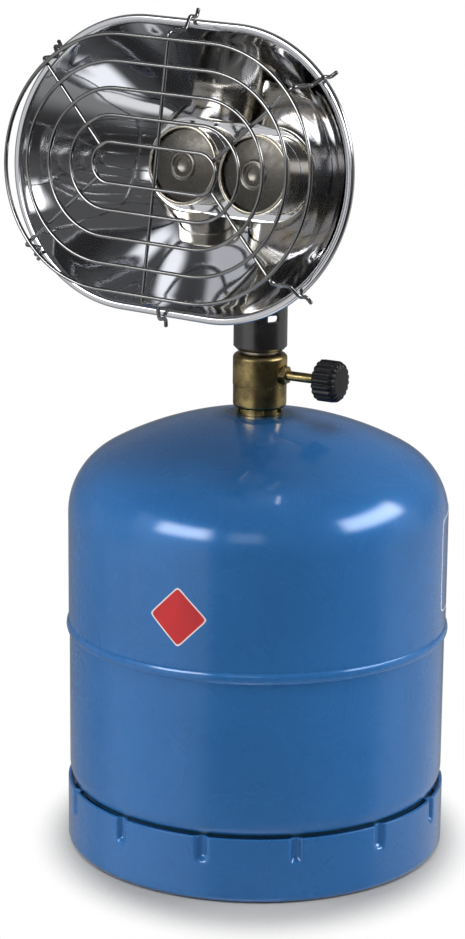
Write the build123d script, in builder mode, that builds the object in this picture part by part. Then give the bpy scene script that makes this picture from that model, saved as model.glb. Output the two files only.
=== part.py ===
from build123d import *
import os
from math import asin, cos, pi, radians, sin, sqrt

# A gas heater with two burners in one oblong reflector, screwed onto a refillable gas cylinder.
# Millimetres, +Z up. The origin is the centre of the foot ring's lower edge. The head faces -Y
# and the control knob points along +X.

os.makedirs("parts", exist_ok=True)

# ---------------------------------------------------------------- driving dimensions: cylinder
shell_radius = 101.5  # outside of the upper shell
shell_wall = 2.0
shell_step = 0.5  # the lower shell is this much smaller in radius
seam_height = 121.0  # where the two shells meet
seam_width = 6.0
seam_crown = 1.2  # how far the weld bead stands out
backing_height = 8.0  # lip of the lower shell inside the upper one
dome_start = 182.6  # where the straight wall ends
dome_knuckle = 38.15
dome_crown = 170.6
base_start_height = 45.0  # where the lower shell starts to turn in
base_knuckle = 22.0
base_crown = 300.0
foot_step = 0.5  # the foot ring is this much larger than the upper shell in radius
foot_height = 35.0
foot_wall = 2.0
foot_curl = 7.0  # width of the edge that is turned in under the cylinder
dimple_count = 13
dimple_angle = 8.1  # degrees from +X
dimple_width = 5.0
dimple_height = 13.0
weld_gap = 0.05  # left between pieces that are welded or screwed tight

# ---------------------------------------------------------------- driving dimensions: cylinder valve
bung_radius = 18.0
bung_rise = 0.4  # above the shell at the bung's edge
bung_depth = 9.0
insert_radius = 11.6
insert_wall_below = 3.0  # wall of the ball chamber
insert_depth = 34.0
collar_radius = 12.2
collar_height = 3.4
collar_slots = 6
collar_slot_width = 4.0
inlet_radius = 8.0  # the heater's spigot screws in here
inlet_depth = 15.0
port_radius = 3.0
port_length = 3.0
ball_radius = 4.0
ball_opening = 1.5  # how far the pin holds the ball off its seat
spring_wire = 0.8
spring_turns = 4
seal_height = 2.0
disc_height = 1.6
disc_hole = 0.9

# ---------------------------------------------------------------- driving dimensions: heater valve
nut_radius = 14.2
nut_height = 12.4
nut_round = 2.2  # rounding of its lower edge
spigot_clearance = 0.05
gas_passage = 1.6
pin_radius = 1.2
body_radius = 14.4
body_height = 17.0
shoulder_height = 3.0
shoulder_width = 4.1
spindle_rise = 6.1  # spindle axis above the body's lower face
spindle_radius = 2.55
spindle_reach = 46.6  # end of the spindle, from the cylinder's axis
needle_radius = 1.0
needle_clearance = 0.2
outlet_radius = 1.3
gland_flat = 8.6  # across the flats
gland_thread = 3.9
gland_reach = 17.6
gland_head = 3.6
gland_depth = 4.0
gland_margin = 0.4
ring_section = 0.62
knob_radius = 11.0
knob_start = 36.4
knob_length = 13.2
knob_flutes = 18
flute_radius = 1.0
knob_edge = 2.4
knob_recess_radius = 6.5
knob_recess_depth = 0.8
neck_radius = 9.5
neck_gap = 1.5  # neck that shows between the body and the fork
neck_thread = 7.6
neck_depth = 5.0
neck_bore = 5.4
fork_nut_flat = 19.0
fork_nut_height = 2.0
jet_hex = 7.6
jet_thread = 2.9
jet_depth = 4.0
jet_body = 5.5
jet_tip_radius = 2.5
jet_height = 15.0
jet_orifice = 0.35

# ---------------------------------------------------------------- driving dimensions: fork and pivot
fork_radius = 14.2
fork_wall = 2.2
fork_floor = 3.2
fork_chamfer = 2.0
fork_tube_height = 22.4
ear_inside = 10.0  # from the middle to an ear's inner face
ear_round = 9.0
pivot_rise = 10.0  # pivot above the top of the fork's tube
pivot_radius = 3.0
running_clearance = 0.05
air_port_rise = 18.2  # above the fork's lower edge
air_port_width = 7.0
air_port_height = 3.6
air_port_angle = 31.5  # degrees from +X, towards the front on both sides
back_port_height = 13.0
back_port_rise = 13.2
barrel_radius = 8.8
barrel_bore = 6.4
barrel_end = 1.6
barrel_gap = 0.3
barrel_window = 9.0
washer_radius = 6.0
washer_height = 1.0
bolt_head_flat = 9.0
bolt_head_height = 3.6
nut_flat = 9.0
nut_thickness = 4.2

# ---------------------------------------------------------------- driving dimensions: head
head_tilt = 7.0  # degrees that the head looks up at rest
head_lean = 2.2  # degrees that the head leans towards the knob
rim_forward = 94.9  # rim plane in front of the pivot
rim_rise = 61.2  # middle of the rim above the pivot
end_offset = 25.2  # from the middle to the centre of each round end
rim_radius = 73.1
bowl_depth = 52.0
bowl_floor_radius = 24.0
bowl_wall = 0.8
bead_radius = 1.5
flange_width = 2.2
burner_spacing = 41.8
burner_radius = 19.8
burner_height = 12.8
burner_wall = 1.0
burner_foot = 0.2  # gasket space under the burner
spigot_radius = 9.5
spigot_length = 12.0
ring_radius = 20.4
ring_width = 1.9
ring_height = 2.4
gauze_wall = 0.8
gauze_crown = 1.6
gauze_inset = 1.2
stud_radius = 5.6
stud_height = 2.6
stud_recess = 3.4
baffle_radius = 12.0
baffle_wall = 0.8
baffle_height = 5.0
plate_wall = 1.5
plate_margin = 4.0
clamp_nut_flat = 24.0
clamp_nut_height = 5.0
tube_radius = 8.0
tube_wall = 1.0
manifold_radius = 9.0
manifold_wall = 1.2
manifold_overhang = 10.5
braze_gap = 0.05

# ---------------------------------------------------------------- driving dimensions: wire guard
guard_standoff = 21.5
guard_rings = 5
inner_ring_radius = 10.05
ring_pitch = 13.05
wire_radius = 1.0
wire_bend = 2.0
leg_overrun = 3.5
leg_drop = 14.5
leg_step_clearance = 0.15
leg_tip = 4.5
spoke_angle = 45.0


def pressed_end(radius, knuckle, crown, hole):
    """Points of a pressed end, from the straight wall to the hole at its middle, as (radius, height).

    The end is a knuckle arc that runs tangent into a crown arc centred on the axis.
    """
    centre_drop = sqrt((crown - knuckle) ** 2 - (radius - knuckle) ** 2)
    meet = asin((radius - knuckle) / (crown - knuckle))
    half_turn = (pi / 2 - meet) / 2
    hole_angle = asin(hole / crown)
    crown_middle = (meet + hole_angle) / 2
    return [
        (radius, 0.0),
        (radius - knuckle + knuckle * cos(half_turn), knuckle * sin(half_turn)),
        (crown * sin(meet), crown * cos(meet) - centre_drop),
        (crown * sin(crown_middle), crown * cos(crown_middle) - centre_drop),
        (hole, crown * cos(hole_angle) - centre_drop),
    ]


def placed(points, start, direction):
    """Carry the points of a pressed end to the height where its wall stops."""
    return [(x, start + direction * z) for x, z in points]


# ================================================================ gas cylinder
bung_hole = bung_radius + weld_gap
dome_outside = placed(pressed_end(shell_radius, dome_knuckle, dome_crown, bung_hole), dome_start, 1)
dome_inside = placed(
    pressed_end(shell_radius - shell_wall, dome_knuckle - shell_wall, dome_crown - shell_wall, bung_hole),
    dome_start,
    1,
)
bung_seat = dome_outside[-1][1]

with BuildPart() as upper_shell:
    with BuildSketch(Plane.XZ):
        with BuildLine():
            Line((shell_radius, seam_height), dome_outside[0])
            ThreePointArc(*dome_outside[:3])
            ThreePointArc(*dome_outside[2:])
            Line(dome_outside[-1], dome_inside[-1])
            ThreePointArc(*dome_inside[2:])
            ThreePointArc(*dome_inside[:3])
            Line(dome_inside[0], (shell_radius - shell_wall, seam_height))
            Line((shell_radius - shell_wall, seam_height), (shell_radius, seam_height))
        make_face()
    revolve(axis=Axis.Z)
upper_shell.part.label = "upper_shell"
export_step(upper_shell.part, "parts/upper_shell.step")

lower_radius = shell_radius - shell_step
foot_radius = shell_radius + foot_step
backing_radius = shell_radius - shell_wall - weld_gap
base_outside = placed(pressed_end(lower_radius, base_knuckle, base_crown, 0.0), base_start_height, -1)
base_inside = placed(
    pressed_end(lower_radius - shell_wall, base_knuckle - shell_wall, base_crown - shell_wall, 0.0),
    base_start_height,
    -1,
)

with BuildPart() as lower_shell:
    with BuildSketch(Plane.XZ):
        with BuildLine():
            ThreePointArc(*base_outside[2:])
            ThreePointArc(*base_outside[:3])
            Line(base_outside[0], (lower_radius, seam_height))
            Polyline(
                (lower_radius, seam_height),
                (backing_radius, seam_height),
                (backing_radius, seam_height + backing_height),
                (backing_radius - shell_wall, seam_height + backing_height),
                (backing_radius - shell_wall, seam_height - backing_height),
                (lower_radius - shell_wall, seam_height - backing_height),
                base_inside[0],
            )
            ThreePointArc(*base_inside[:3])
            ThreePointArc(*base_inside[2:])
            Line(base_inside[-1], base_outside[-1])
        make_face()
    revolve(axis=Axis.Z)
lower_shell.part.label = "lower_shell"
export_step(lower_shell.part, "parts/lower_shell.step")

with BuildPart() as seam_weld:
    with BuildSketch(Plane.XZ):
        with BuildLine():
            ThreePointArc(
                (shell_radius + weld_gap, seam_height + seam_width / 2),
                (shell_radius + seam_crown, seam_height),
                (lower_radius + weld_gap, seam_height - seam_width / 2),
            )
            Polyline(
                (lower_radius + weld_gap, seam_height - seam_width / 2),
                (lower_radius + weld_gap, seam_height),
                (shell_radius + weld_gap, seam_height),
                (shell_radius + weld_gap, seam_height + seam_width / 2),
            )
        make_face()
    revolve(axis=Axis.Z)
seam_weld.part.label = "seam_weld"
export_step(seam_weld.part, "parts/seam_weld.step")

# The foot ring is a hoop with its lower edge turned in. Dimples pressed into its upper edge reach
# the shell, where they are welded; between them the hoop stands clear of it.
shell_at_foot = (
    lower_radius - base_knuckle + sqrt(base_knuckle**2 - (base_start_height - foot_height) ** 2)
)
dimple_depth = foot_radius - foot_wall - shell_at_foot - weld_gap
dimple_radius = ((dimple_width / 2) ** 2 + dimple_depth**2) / (2 * dimple_depth)
dimple_centre = foot_radius - dimple_depth + dimple_radius
dimple_floor = foot_height - dimple_height

with BuildPart() as foot_ring:
    with BuildSketch(Plane.XZ):
        with BuildLine():
            Polyline(
                (foot_radius, 0),
                (foot_radius, foot_height),
                (foot_radius - foot_wall, foot_height),
                (foot_radius - foot_wall, foot_wall),
                (foot_radius - foot_curl, foot_wall),
                (foot_radius - foot_curl, 0),
                close=True,
            )
        make_face()
    revolve(axis=Axis.Z)
    with BuildSketch(Plane.XY.offset(dimple_floor)):
        with PolarLocations(dimple_centre, dimple_count, dimple_angle):
            Circle(dimple_radius + foot_wall)
    extrude(amount=dimple_height)
    with BuildSketch(Plane.XY):
        Circle(foot_radius)
    extrude(amount=foot_height, mode=Mode.INTERSECT)
    with BuildSketch(Plane.XY.offset(dimple_floor)):
        with PolarLocations(dimple_centre, dimple_count, dimple_angle):
            Circle(dimple_radius)
    extrude(amount=dimple_height, mode=Mode.SUBTRACT)
foot_ring.part.label = "foot_ring"
export_step(foot_ring.part, "parts/foot_ring.step")

# ================================================================ cylinder valve
bung_top = bung_seat + bung_rise

with BuildPart() as valve_bung:
    with BuildSketch(Plane.XY.offset(bung_top - bung_depth)):
        Circle(bung_radius)
        Circle(insert_radius + weld_gap, mode=Mode.SUBTRACT)
    extrude(amount=bung_depth)
    chamfer(
        valve_bung.edges().filter_by(GeomType.CIRCLE).group_by(Axis.Z)[-1].sort_by(SortBy.RADIUS)[-1],
        length=bung_rise / 2,
    )
valve_bung.part.label = "valve_bung"
export_step(valve_bung.part, "parts/valve_bung.step")

# The valve insert holds the heater's spigot above and the ball chamber below.
collar_top = bung_top + collar_height
inlet_floor = collar_top - inlet_depth
chamber_top = inlet_floor - port_length
insert_bottom = collar_top - insert_depth
chamber_radius = insert_radius - insert_wall_below

with BuildPart() as cylinder_valve:
    with BuildSketch(Plane.XY.offset(insert_bottom)):
        Circle(insert_radius)
    extrude(amount=insert_depth)
    with BuildSketch(Plane.XY.offset(bung_top)):
        Circle(collar_radius)
    extrude(amount=collar_height)
    with BuildSketch(Plane.XY.offset(collar_top)):
        with PolarLocations(collar_radius, collar_slots):
            Rectangle(collar_slot_width, collar_slot_width)
    extrude(amount=-collar_height * 2 / 3, mode=Mode.SUBTRACT)
    with BuildSketch(Plane.XY.offset(inlet_floor)):
        Circle(inlet_radius)
    extrude(amount=inlet_depth, mode=Mode.SUBTRACT)
    with BuildSketch(Plane.XY.offset(chamber_top)):
        Circle(port_radius)
    extrude(amount=port_length, mode=Mode.SUBTRACT)
    with BuildSketch(Plane.XY.offset(insert_bottom)):
        Circle(chamber_radius)
    extrude(amount=chamber_top - insert_bottom, mode=Mode.SUBTRACT)
cylinder_valve.part.label = "cylinder_valve"
export_step(cylinder_valve.part, "parts/cylinder_valve.step")

with BuildPart() as retaining_disc:
    with BuildSketch(Plane.XY.offset(insert_bottom)):
        Circle(chamber_radius - weld_gap)
        with PolarLocations(chamber_radius / 2, 4):
            Circle(disc_hole, mode=Mode.SUBTRACT)
    extrude(amount=disc_height)
retaining_disc.part.label = "retaining_disc"
export_step(retaining_disc.part, "parts/retaining_disc.step")

# The ball rests under its port, pushed down by the heater's pin and up by the spring.
ball_seat_drop = sqrt(ball_radius**2 - port_radius**2)
ball_height = chamber_top - ball_seat_drop - ball_opening

with BuildPart() as check_ball:
    with Locations((0, 0, ball_height)):
        Sphere(ball_radius)
check_ball.part.label = "check_ball"
export_step(check_ball.part, "parts/check_ball.step")

spring_radius = ball_radius * 0.8
spring_bottom = insert_bottom + disc_height + spring_wire / 2 + weld_gap
spring_top = ball_height - sqrt(ball_radius**2 - spring_radius**2) - spring_wire * 0.8
spring_height = spring_top - spring_bottom

with BuildPart() as check_spring:
    with BuildLine():
        spring_path = Helix(
            pitch=spring_height / spring_turns,
            height=spring_height,
            radius=spring_radius,
            center=(0, 0, spring_bottom),
        )
    with BuildSketch(Plane(origin=spring_path @ 0, z_dir=spring_path % 0)):
        Circle(spring_wire / 2)
    sweep(path=spring_path, is_frenet=True)
check_spring.part.label = "check_spring"
export_step(check_spring.part, "parts/check_spring.step")

with BuildPart() as inlet_seal:
    with BuildSketch(Plane.XY.offset(inlet_floor)):
        Circle(inlet_radius - weld_gap)
        Circle(port_radius, mode=Mode.SUBTRACT)
    extrude(amount=seal_height)
inlet_seal.part.label = "inlet_seal"
export_step(inlet_seal.part, "parts/inlet_seal.step")

# ================================================================ heater valve
spigot_bottom = inlet_floor + seal_height
body_bottom = collar_top + nut_height
body_top = body_bottom + body_height
spindle_height = body_bottom + spindle_rise

with BuildPart() as inlet_nut:
    with BuildSketch(Plane.XY.offset(collar_top)):
        Circle(nut_radius)
    extrude(amount=nut_height)
    with BuildSketch(Plane.XY.offset(spigot_bottom)):
        Circle(inlet_radius - spigot_clearance)
    extrude(amount=collar_top - spigot_bottom)
    with BuildSketch(Plane.XY.offset(spigot_bottom)):
        Circle(gas_passage)
    extrude(amount=body_bottom - spigot_bottom, mode=Mode.SUBTRACT)
    chamfer(
        inlet_nut.edges().filter_by(GeomType.CIRCLE).group_by(Axis.Z)[-1].sort_by(SortBy.RADIUS)[-1],
        length=0.3,
    )
    fillet(
        inlet_nut.edges().filter_by(GeomType.CIRCLE).group_by(SortBy.RADIUS)[-1].sort_by(Axis.Z)[0],
        nut_round,
    )
inlet_nut.part.label = "inlet_nut"
export_step(inlet_nut.part, "parts/inlet_nut.step")

# The pin reaches through the port and holds the ball off its seat. Flats on it let the gas pass.
pin_bottom = ball_height + ball_radius + weld_gap

with BuildPart() as inlet_pin:
    with BuildSketch(Plane.XY.offset(pin_bottom)):
        Circle(pin_radius)
    extrude(amount=spigot_bottom - pin_bottom)
    with BuildSketch(Plane.XY.offset(spigot_bottom)):
        Circle(gas_passage - weld_gap)
        with Locations((gas_passage, 0), (-gas_passage, 0)):
            Rectangle(gas_passage, 2 * gas_passage, mode=Mode.SUBTRACT)
    extrude(amount=seal_height * 2)
inlet_pin.part.label = "inlet_pin"
export_step(inlet_pin.part, "parts/inlet_pin.step")

spindle_plane = Plane(origin=(0, 0, spindle_height), x_dir=(0, 1, 0), z_dir=(1, 0, 0))
chamber_start = 2.5
feed_margin = 0.5  # between the chamber's end and the feed bore that opens into it
gland_corner = gland_flat / 2 / cos(radians(30))
gland_face = sqrt(body_radius**2 - gland_corner**2)
gland_inner = gland_face - gland_depth

shoulder_start = body_top - shoulder_height

with BuildPart() as valve_body:
    with BuildSketch(Plane.XZ):
        with BuildLine():
            Polyline(
                (body_radius - shoulder_width, body_top),
                (0, body_top),
                (0, body_bottom),
                (body_radius, body_bottom),
                (body_radius, shoulder_start),
            )
            EllipticalCenterArc(
                (body_radius - shoulder_width, shoulder_start),
                shoulder_width,
                shoulder_height,
                arc_size=90,
            )
        make_face()
    revolve(axis=Axis.Z)
    with BuildSketch(spindle_plane.offset(gland_face)):
        Circle(gland_corner + gland_margin)
    extrude(amount=body_radius - gland_face, mode=Mode.SUBTRACT)
    with BuildSketch(spindle_plane.offset(gland_inner)):
        Circle(gland_thread + weld_gap)
    extrude(amount=gland_depth, mode=Mode.SUBTRACT)
    with BuildSketch(spindle_plane.offset(chamber_start)):
        Circle(spindle_radius + running_clearance)
    extrude(amount=gland_inner - chamber_start, mode=Mode.SUBTRACT)
    with BuildSketch(spindle_plane.offset(-gas_passage)):
        Circle(needle_radius)
    extrude(amount=chamber_start + gas_passage, mode=Mode.SUBTRACT)
    with BuildSketch(Plane.XY.offset(body_bottom)):
        with Locations((chamber_start + gas_passage + feed_margin, 0)):
            Circle(gas_passage)
    extrude(amount=spindle_rise, mode=Mode.SUBTRACT)
    with BuildSketch(Plane.XY.offset(spindle_height)):
        Circle(outlet_radius)
    extrude(amount=body_top - spindle_height, mode=Mode.SUBTRACT)
    with BuildSketch(Plane.XY.offset(body_top - neck_depth)):
        Circle(neck_thread)
    extrude(amount=neck_depth, mode=Mode.SUBTRACT)
    with BuildSketch(Plane.XY.offset(body_top - neck_depth - jet_depth)):
        Circle(jet_thread + weld_gap)
    extrude(amount=jet_depth, mode=Mode.SUBTRACT)
valve_body.part.label = "valve_body"
export_step(valve_body.part, "parts/valve_body.step")

with BuildPart() as gland_nut:
    with BuildSketch(spindle_plane.offset(gland_face)):
        RegularPolygon(gland_flat / 2, 6, major_radius=False)
    extrude(amount=gland_head)
    with BuildSketch(spindle_plane.offset(gland_inner + 2 * ring_section)):
        Circle(gland_thread)
    extrude(amount=gland_depth - 2 * ring_section)
    with BuildSketch(spindle_plane.offset(gland_inner)):
        Circle(spindle_radius + running_clearance)
    extrude(amount=gland_reach, mode=Mode.SUBTRACT)
    chamfer(gland_nut.edges().group_by(Axis.X)[-1].filter_by(GeomType.LINE), length=0.4)
gland_nut.part.label = "gland_nut"
export_step(gland_nut.part, "parts/gland_nut.step")

seal_offset = spindle_radius + running_clearance + ring_section

with BuildPart() as gland_seal:
    with BuildSketch(Plane.XZ):
        with Locations((gland_inner + ring_section, spindle_height + seal_offset)):
            Circle(ring_section - weld_gap)
    revolve(axis=Axis((0, 0, spindle_height), (1, 0, 0)))
gland_seal.part.label = "gland_seal"
export_step(gland_seal.part, "parts/gland_seal.step")

with BuildPart() as valve_spindle:
    with BuildSketch(spindle_plane.offset(chamber_start + gas_passage * 2 + needle_clearance)):
        Circle(spindle_radius)
    extrude(amount=spindle_reach - chamber_start - gas_passage * 2 - needle_clearance)
    with BuildSketch(Plane.XZ):
        with BuildLine():
            Polyline(
                (chamber_start - 1.0, spindle_height),
                (chamber_start + needle_clearance, spindle_height + needle_radius * 0.8),
                (chamber_start + gas_passage * 2 + needle_clearance, spindle_height + needle_radius * 1.4),
                (chamber_start + gas_passage * 2 + needle_clearance, spindle_height),
                close=True,
            )
        make_face()
    revolve(axis=Axis((0, 0, spindle_height), (1, 0, 0)))
valve_spindle.part.label = "valve_spindle"
export_step(valve_spindle.part, "parts/valve_spindle.step")

with BuildPart() as control_knob:
    with BuildSketch(spindle_plane.offset(knob_start)):
        Circle(knob_radius)
    extrude(amount=knob_length)
    fillet(control_knob.edges().filter_by(GeomType.CIRCLE).group_by(Axis.X)[-1], knob_edge)
    chamfer(control_knob.edges().filter_by(GeomType.CIRCLE).group_by(Axis.X)[0], length=knob_edge / 3)
    with BuildSketch(spindle_plane.offset(knob_start)):
        with PolarLocations(knob_radius + flute_radius / 3, knob_flutes):
            Circle(flute_radius)
    extrude(amount=knob_length, mode=Mode.SUBTRACT)
    with BuildSketch(spindle_plane.offset(knob_start + knob_length)):
        Circle(knob_recess_radius)
    extrude(amount=-knob_recess_depth, mode=Mode.SUBTRACT)
    with BuildSketch(spindle_plane.offset(knob_start)):
        Circle(spindle_radius)
    extrude(amount=spindle_reach - knob_start, mode=Mode.SUBTRACT)
control_knob.part.label = "control_knob"
export_step(control_knob.part, "parts/control_knob.step")

# The neck screws into the body and carries the fork on its shoulder.
fork_bottom = body_top + neck_gap
neck_top = fork_bottom + fork_floor + fork_nut_height

with BuildPart() as neck:
    with BuildSketch(Plane.XY.offset(body_top - neck_depth)):
        Circle(neck_thread - weld_gap)
    extrude(amount=neck_depth)
    with BuildSketch(Plane.XY.offset(body_top)):
        Circle(neck_radius)
    extrude(amount=neck_gap)
    with BuildSketch(Plane.XY.offset(fork_bottom)):
        Circle(neck_thread)
    extrude(amount=fork_floor + fork_nut_height)
    with BuildSketch(Plane.XY.offset(body_top - neck_depth)):
        Circle(neck_bore)
    extrude(amount=neck_top - body_top + neck_depth, mode=Mode.SUBTRACT)
neck.part.label = "neck"
export_step(neck.part, "parts/neck.step")

with BuildPart() as fork_nut:
    with BuildSketch(Plane.XY.offset(fork_bottom + fork_floor)):
        RegularPolygon(fork_nut_flat / 2, 6, major_radius=False)
        Circle(neck_thread + weld_gap, mode=Mode.SUBTRACT)
    extrude(amount=fork_nut_height)
fork_nut.part.label = "fork_nut"
export_step(fork_nut.part, "parts/fork_nut.step")

jet_bottom = body_top - neck_depth

with BuildPart() as gas_jet:
    with BuildSketch(Plane.XY.offset(jet_bottom - jet_depth)):
        Circle(jet_thread)
    extrude(amount=jet_depth)
    with BuildSketch(Plane.XY.offset(jet_bottom)):
        RegularPolygon(jet_hex / 2, 6, major_radius=False)
    extrude(amount=jet_body)
    with BuildSketch(Plane.XZ):
        with BuildLine():
            Polyline(
                (0, jet_bottom + jet_body),
                (jet_tip_radius + 0.6, jet_bottom + jet_body),
                (jet_tip_radius, jet_bottom + jet_height - 2.0),
                (jet_tip_radius / 2, jet_bottom + jet_height),
                (0, jet_bottom + jet_height),
                close=True,
            )
        make_face()
    revolve(axis=Axis.Z)
    with BuildSketch(Plane.XY.offset(jet_bottom - jet_depth)):
        Circle(needle_radius)
    extrude(amount=jet_depth + jet_height - 2.0, mode=Mode.SUBTRACT)
    with BuildSketch(Plane.XY.offset(jet_bottom)):
        Circle(jet_orifice)
    extrude(amount=jet_height, mode=Mode.SUBTRACT)
gas_jet.part.label = "gas_jet"
export_step(gas_jet.part, "parts/gas_jet.step")

# ================================================================ fork and pivot
port_margin = 0.1  # flat left at the end of a port
fork_tube_top = fork_bottom + fork_tube_height
pivot_height = fork_tube_top + pivot_rise
ear_top = pivot_height + ear_round
pivot_plane = Plane(origin=(0, 0, pivot_height), x_dir=(0, 1, 0), z_dir=(1, 0, 0))

with BuildPart() as swivel_fork:
    with BuildSketch(Plane.XY.offset(fork_bottom)):
        Circle(fork_radius)
    extrude(amount=ear_top - fork_bottom)
    chamfer(swivel_fork.edges().filter_by(GeomType.CIRCLE).group_by(Axis.Z)[0], length=fork_chamfer)
    with BuildSketch(Plane.XY.offset(fork_bottom + fork_floor)):
        Circle(fork_radius - fork_wall)
    extrude(amount=fork_tube_height - fork_floor, mode=Mode.SUBTRACT)
    with BuildSketch(Plane.XY.offset(fork_bottom)):
        Circle(neck_thread + weld_gap)
    extrude(amount=fork_floor, mode=Mode.SUBTRACT)
    with BuildSketch(Plane.XY.offset(fork_tube_top)):
        Rectangle(2 * ear_inside, 2 * fork_radius + 1)
    extrude(amount=ear_top - fork_tube_top, mode=Mode.SUBTRACT)
    with BuildSketch(pivot_plane.offset(-fork_radius)):
        Circle(ear_round)
        Rectangle(2 * ear_round, pivot_height - fork_bottom, align=(Align.CENTER, Align.MAX))
        with Locations((0, fork_tube_top - pivot_height)):
            Rectangle(2 * fork_radius, fork_tube_height, align=(Align.CENTER, Align.MAX))
    extrude(amount=2 * fork_radius, mode=Mode.INTERSECT)
    with BuildSketch(pivot_plane.offset(-fork_radius)):
        Circle(pivot_radius + running_clearance)
    extrude(amount=2 * fork_radius, mode=Mode.SUBTRACT)
    for port_angle, port_height, port_rise in (
        (-air_port_angle, air_port_height, air_port_rise),
        (180 + air_port_angle, air_port_height, air_port_rise),
        (90, back_port_height, back_port_rise),
    ):
        port_plane = Plane(
            origin=(0, 0, fork_bottom + port_rise),
            x_dir=(-sin(radians(port_angle)), cos(radians(port_angle)), 0),
            z_dir=(cos(radians(port_angle)), sin(radians(port_angle)), 0),
        )
        with BuildSketch(port_plane):
            RectangleRounded(air_port_width, port_height, air_port_height / 2 - port_margin)
        extrude(amount=fork_radius, mode=Mode.SUBTRACT)
swivel_fork.part.label = "swivel_fork"
export_step(swivel_fork.part, "parts/swivel_fork.step")

# The head turns with this plane: local x runs across the head, local y up it and local z forward.
# It leans about its own forward direction, so only its tube stands askew on the pivot.
head = Plane(
    origin=(0, 0, pivot_height),
    x_dir=(
        cos(radians(head_lean)),
        -sin(radians(head_lean)) * sin(radians(head_tilt)),
        -sin(radians(head_lean)) * cos(radians(head_tilt)),
    ),
    z_dir=(0, -cos(radians(head_tilt)), sin(radians(head_tilt))),
)
head_across = head.x_dir
head_up = head.y_dir
head_forward = head.z_dir


def on_head(x, up, forward):
    """A point of the head, from its place across, above and in front of the pivot."""
    return head.from_local_coords(Vector(x, up, forward))


def head_face(forward, x=0.0, up=rim_rise):
    """A plane across the head at a distance in front of the pivot, centred on the rim's middle."""
    return Plane(origin=on_head(x, up, forward), x_dir=head_across, z_dir=head_forward)


def head_side(x, up=rim_rise, forward=0.0):
    """A plane seen from the side of the head: local x runs up the head, local y runs forward."""
    return Plane(origin=on_head(x, up, forward), x_dir=head_up, z_dir=head_across)


barrel_half = ear_inside - barrel_gap
tube_cross = Plane(origin=(0, 0, pivot_height), x_dir=head_across, z_dir=head_up)

with BuildPart() as pivot_barrel:
    with BuildSketch(pivot_plane.offset(-barrel_half)):
        Circle(barrel_radius)
    extrude(amount=2 * barrel_half)
    with BuildSketch(pivot_plane.offset(-barrel_half + barrel_end)):
        Circle(barrel_bore)
    extrude(amount=2 * (barrel_half - barrel_end), mode=Mode.SUBTRACT)
    with BuildSketch(pivot_plane.offset(-barrel_half)):
        Circle(pivot_radius + running_clearance)
    extrude(amount=2 * barrel_half, mode=Mode.SUBTRACT)
    with BuildSketch(tube_cross):
        Circle(tube_radius - tube_wall)
    extrude(amount=barrel_radius, mode=Mode.SUBTRACT)
    with BuildSketch(tube_cross.offset(-barrel_radius)):
        Rectangle(2 * (barrel_half - barrel_end), barrel_window)
    extrude(amount=barrel_radius - pivot_radius, mode=Mode.SUBTRACT)
pivot_barrel.part.label = "pivot_barrel"
export_step(pivot_barrel.part, "parts/pivot_barrel.step")

bolt_start = -(fork_radius + washer_height)
bolt_end = fork_radius + washer_height + nut_thickness

with BuildPart() as pivot_bolt:
    with BuildSketch(pivot_plane.offset(bolt_start)):
        Circle(pivot_radius)
    extrude(amount=bolt_end - bolt_start)
    with BuildSketch(pivot_plane.offset(bolt_start)):
        RegularPolygon(bolt_head_flat / 2, 6, major_radius=False)
    extrude(amount=-bolt_head_height)
pivot_bolt.part.label = "pivot_bolt"
export_step(pivot_bolt.part, "parts/pivot_bolt.step")

with BuildPart() as pivot_washers:
    for washer_start in (bolt_start, fork_radius):
        with BuildSketch(pivot_plane.offset(washer_start)):
            Circle(washer_radius)
            Circle(pivot_radius + running_clearance, mode=Mode.SUBTRACT)
        extrude(amount=washer_height)
pivot_washers.part.label = "pivot_washers"
export_step(pivot_washers.part, "parts/pivot_washers.step")

with BuildPart() as pivot_nut:
    with BuildSketch(pivot_plane.offset(fork_radius + washer_height)):
        RegularPolygon(nut_flat / 2, 6, major_radius=False)
        Circle(pivot_radius + weld_gap, mode=Mode.SUBTRACT)
    extrude(amount=nut_thickness)
pivot_nut.part.label = "pivot_nut"
export_step(pivot_nut.part, "parts/pivot_nut.step")

# ================================================================ gas tubes of the head
burner_offset = burner_spacing / 2
manifold_half = burner_offset + manifold_overhang
floor_front = rim_forward - bowl_depth
floor_back = floor_front - bowl_wall
plate_back = floor_back - plate_wall
burner_back = floor_front + burner_foot
manifold_axis = head_side(-manifold_half)

with BuildPart() as riser_tube:
    with BuildSketch(tube_cross):
        Circle(tube_radius)
        Circle(tube_radius - tube_wall, mode=Mode.SUBTRACT)
    extrude(amount=rim_rise)
    with BuildSketch(pivot_plane.offset(-barrel_half)):
        Circle(barrel_radius + braze_gap)
    extrude(amount=2 * barrel_half, mode=Mode.SUBTRACT)
    with BuildSketch(manifold_axis):
        Circle(manifold_radius + braze_gap)
    extrude(amount=2 * manifold_half, mode=Mode.SUBTRACT)
riser_tube.part.label = "riser_tube"
export_step(riser_tube.part, "parts/riser_tube.step")

with BuildPart() as manifold_tube:
    with BuildSketch(manifold_axis):
        Circle(manifold_radius)
    extrude(amount=2 * manifold_half)
    with BuildSketch(manifold_axis.offset(manifold_wall)):
        Circle(manifold_radius - manifold_wall)
    extrude(amount=2 * (manifold_half - manifold_wall), mode=Mode.SUBTRACT)
    with BuildSketch(tube_cross.offset(rim_rise - manifold_radius)):
        Circle(tube_radius - tube_wall)
    extrude(amount=manifold_radius, mode=Mode.SUBTRACT)
    with BuildSketch(head_face(0)):
        with Locations((burner_offset, 0), (-burner_offset, 0)):
            Circle(tube_radius - tube_wall)
    extrude(amount=manifold_radius, mode=Mode.SUBTRACT)
manifold_tube.part.label = "manifold_tube"
export_step(manifold_tube.part, "parts/manifold_tube.step")

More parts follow.
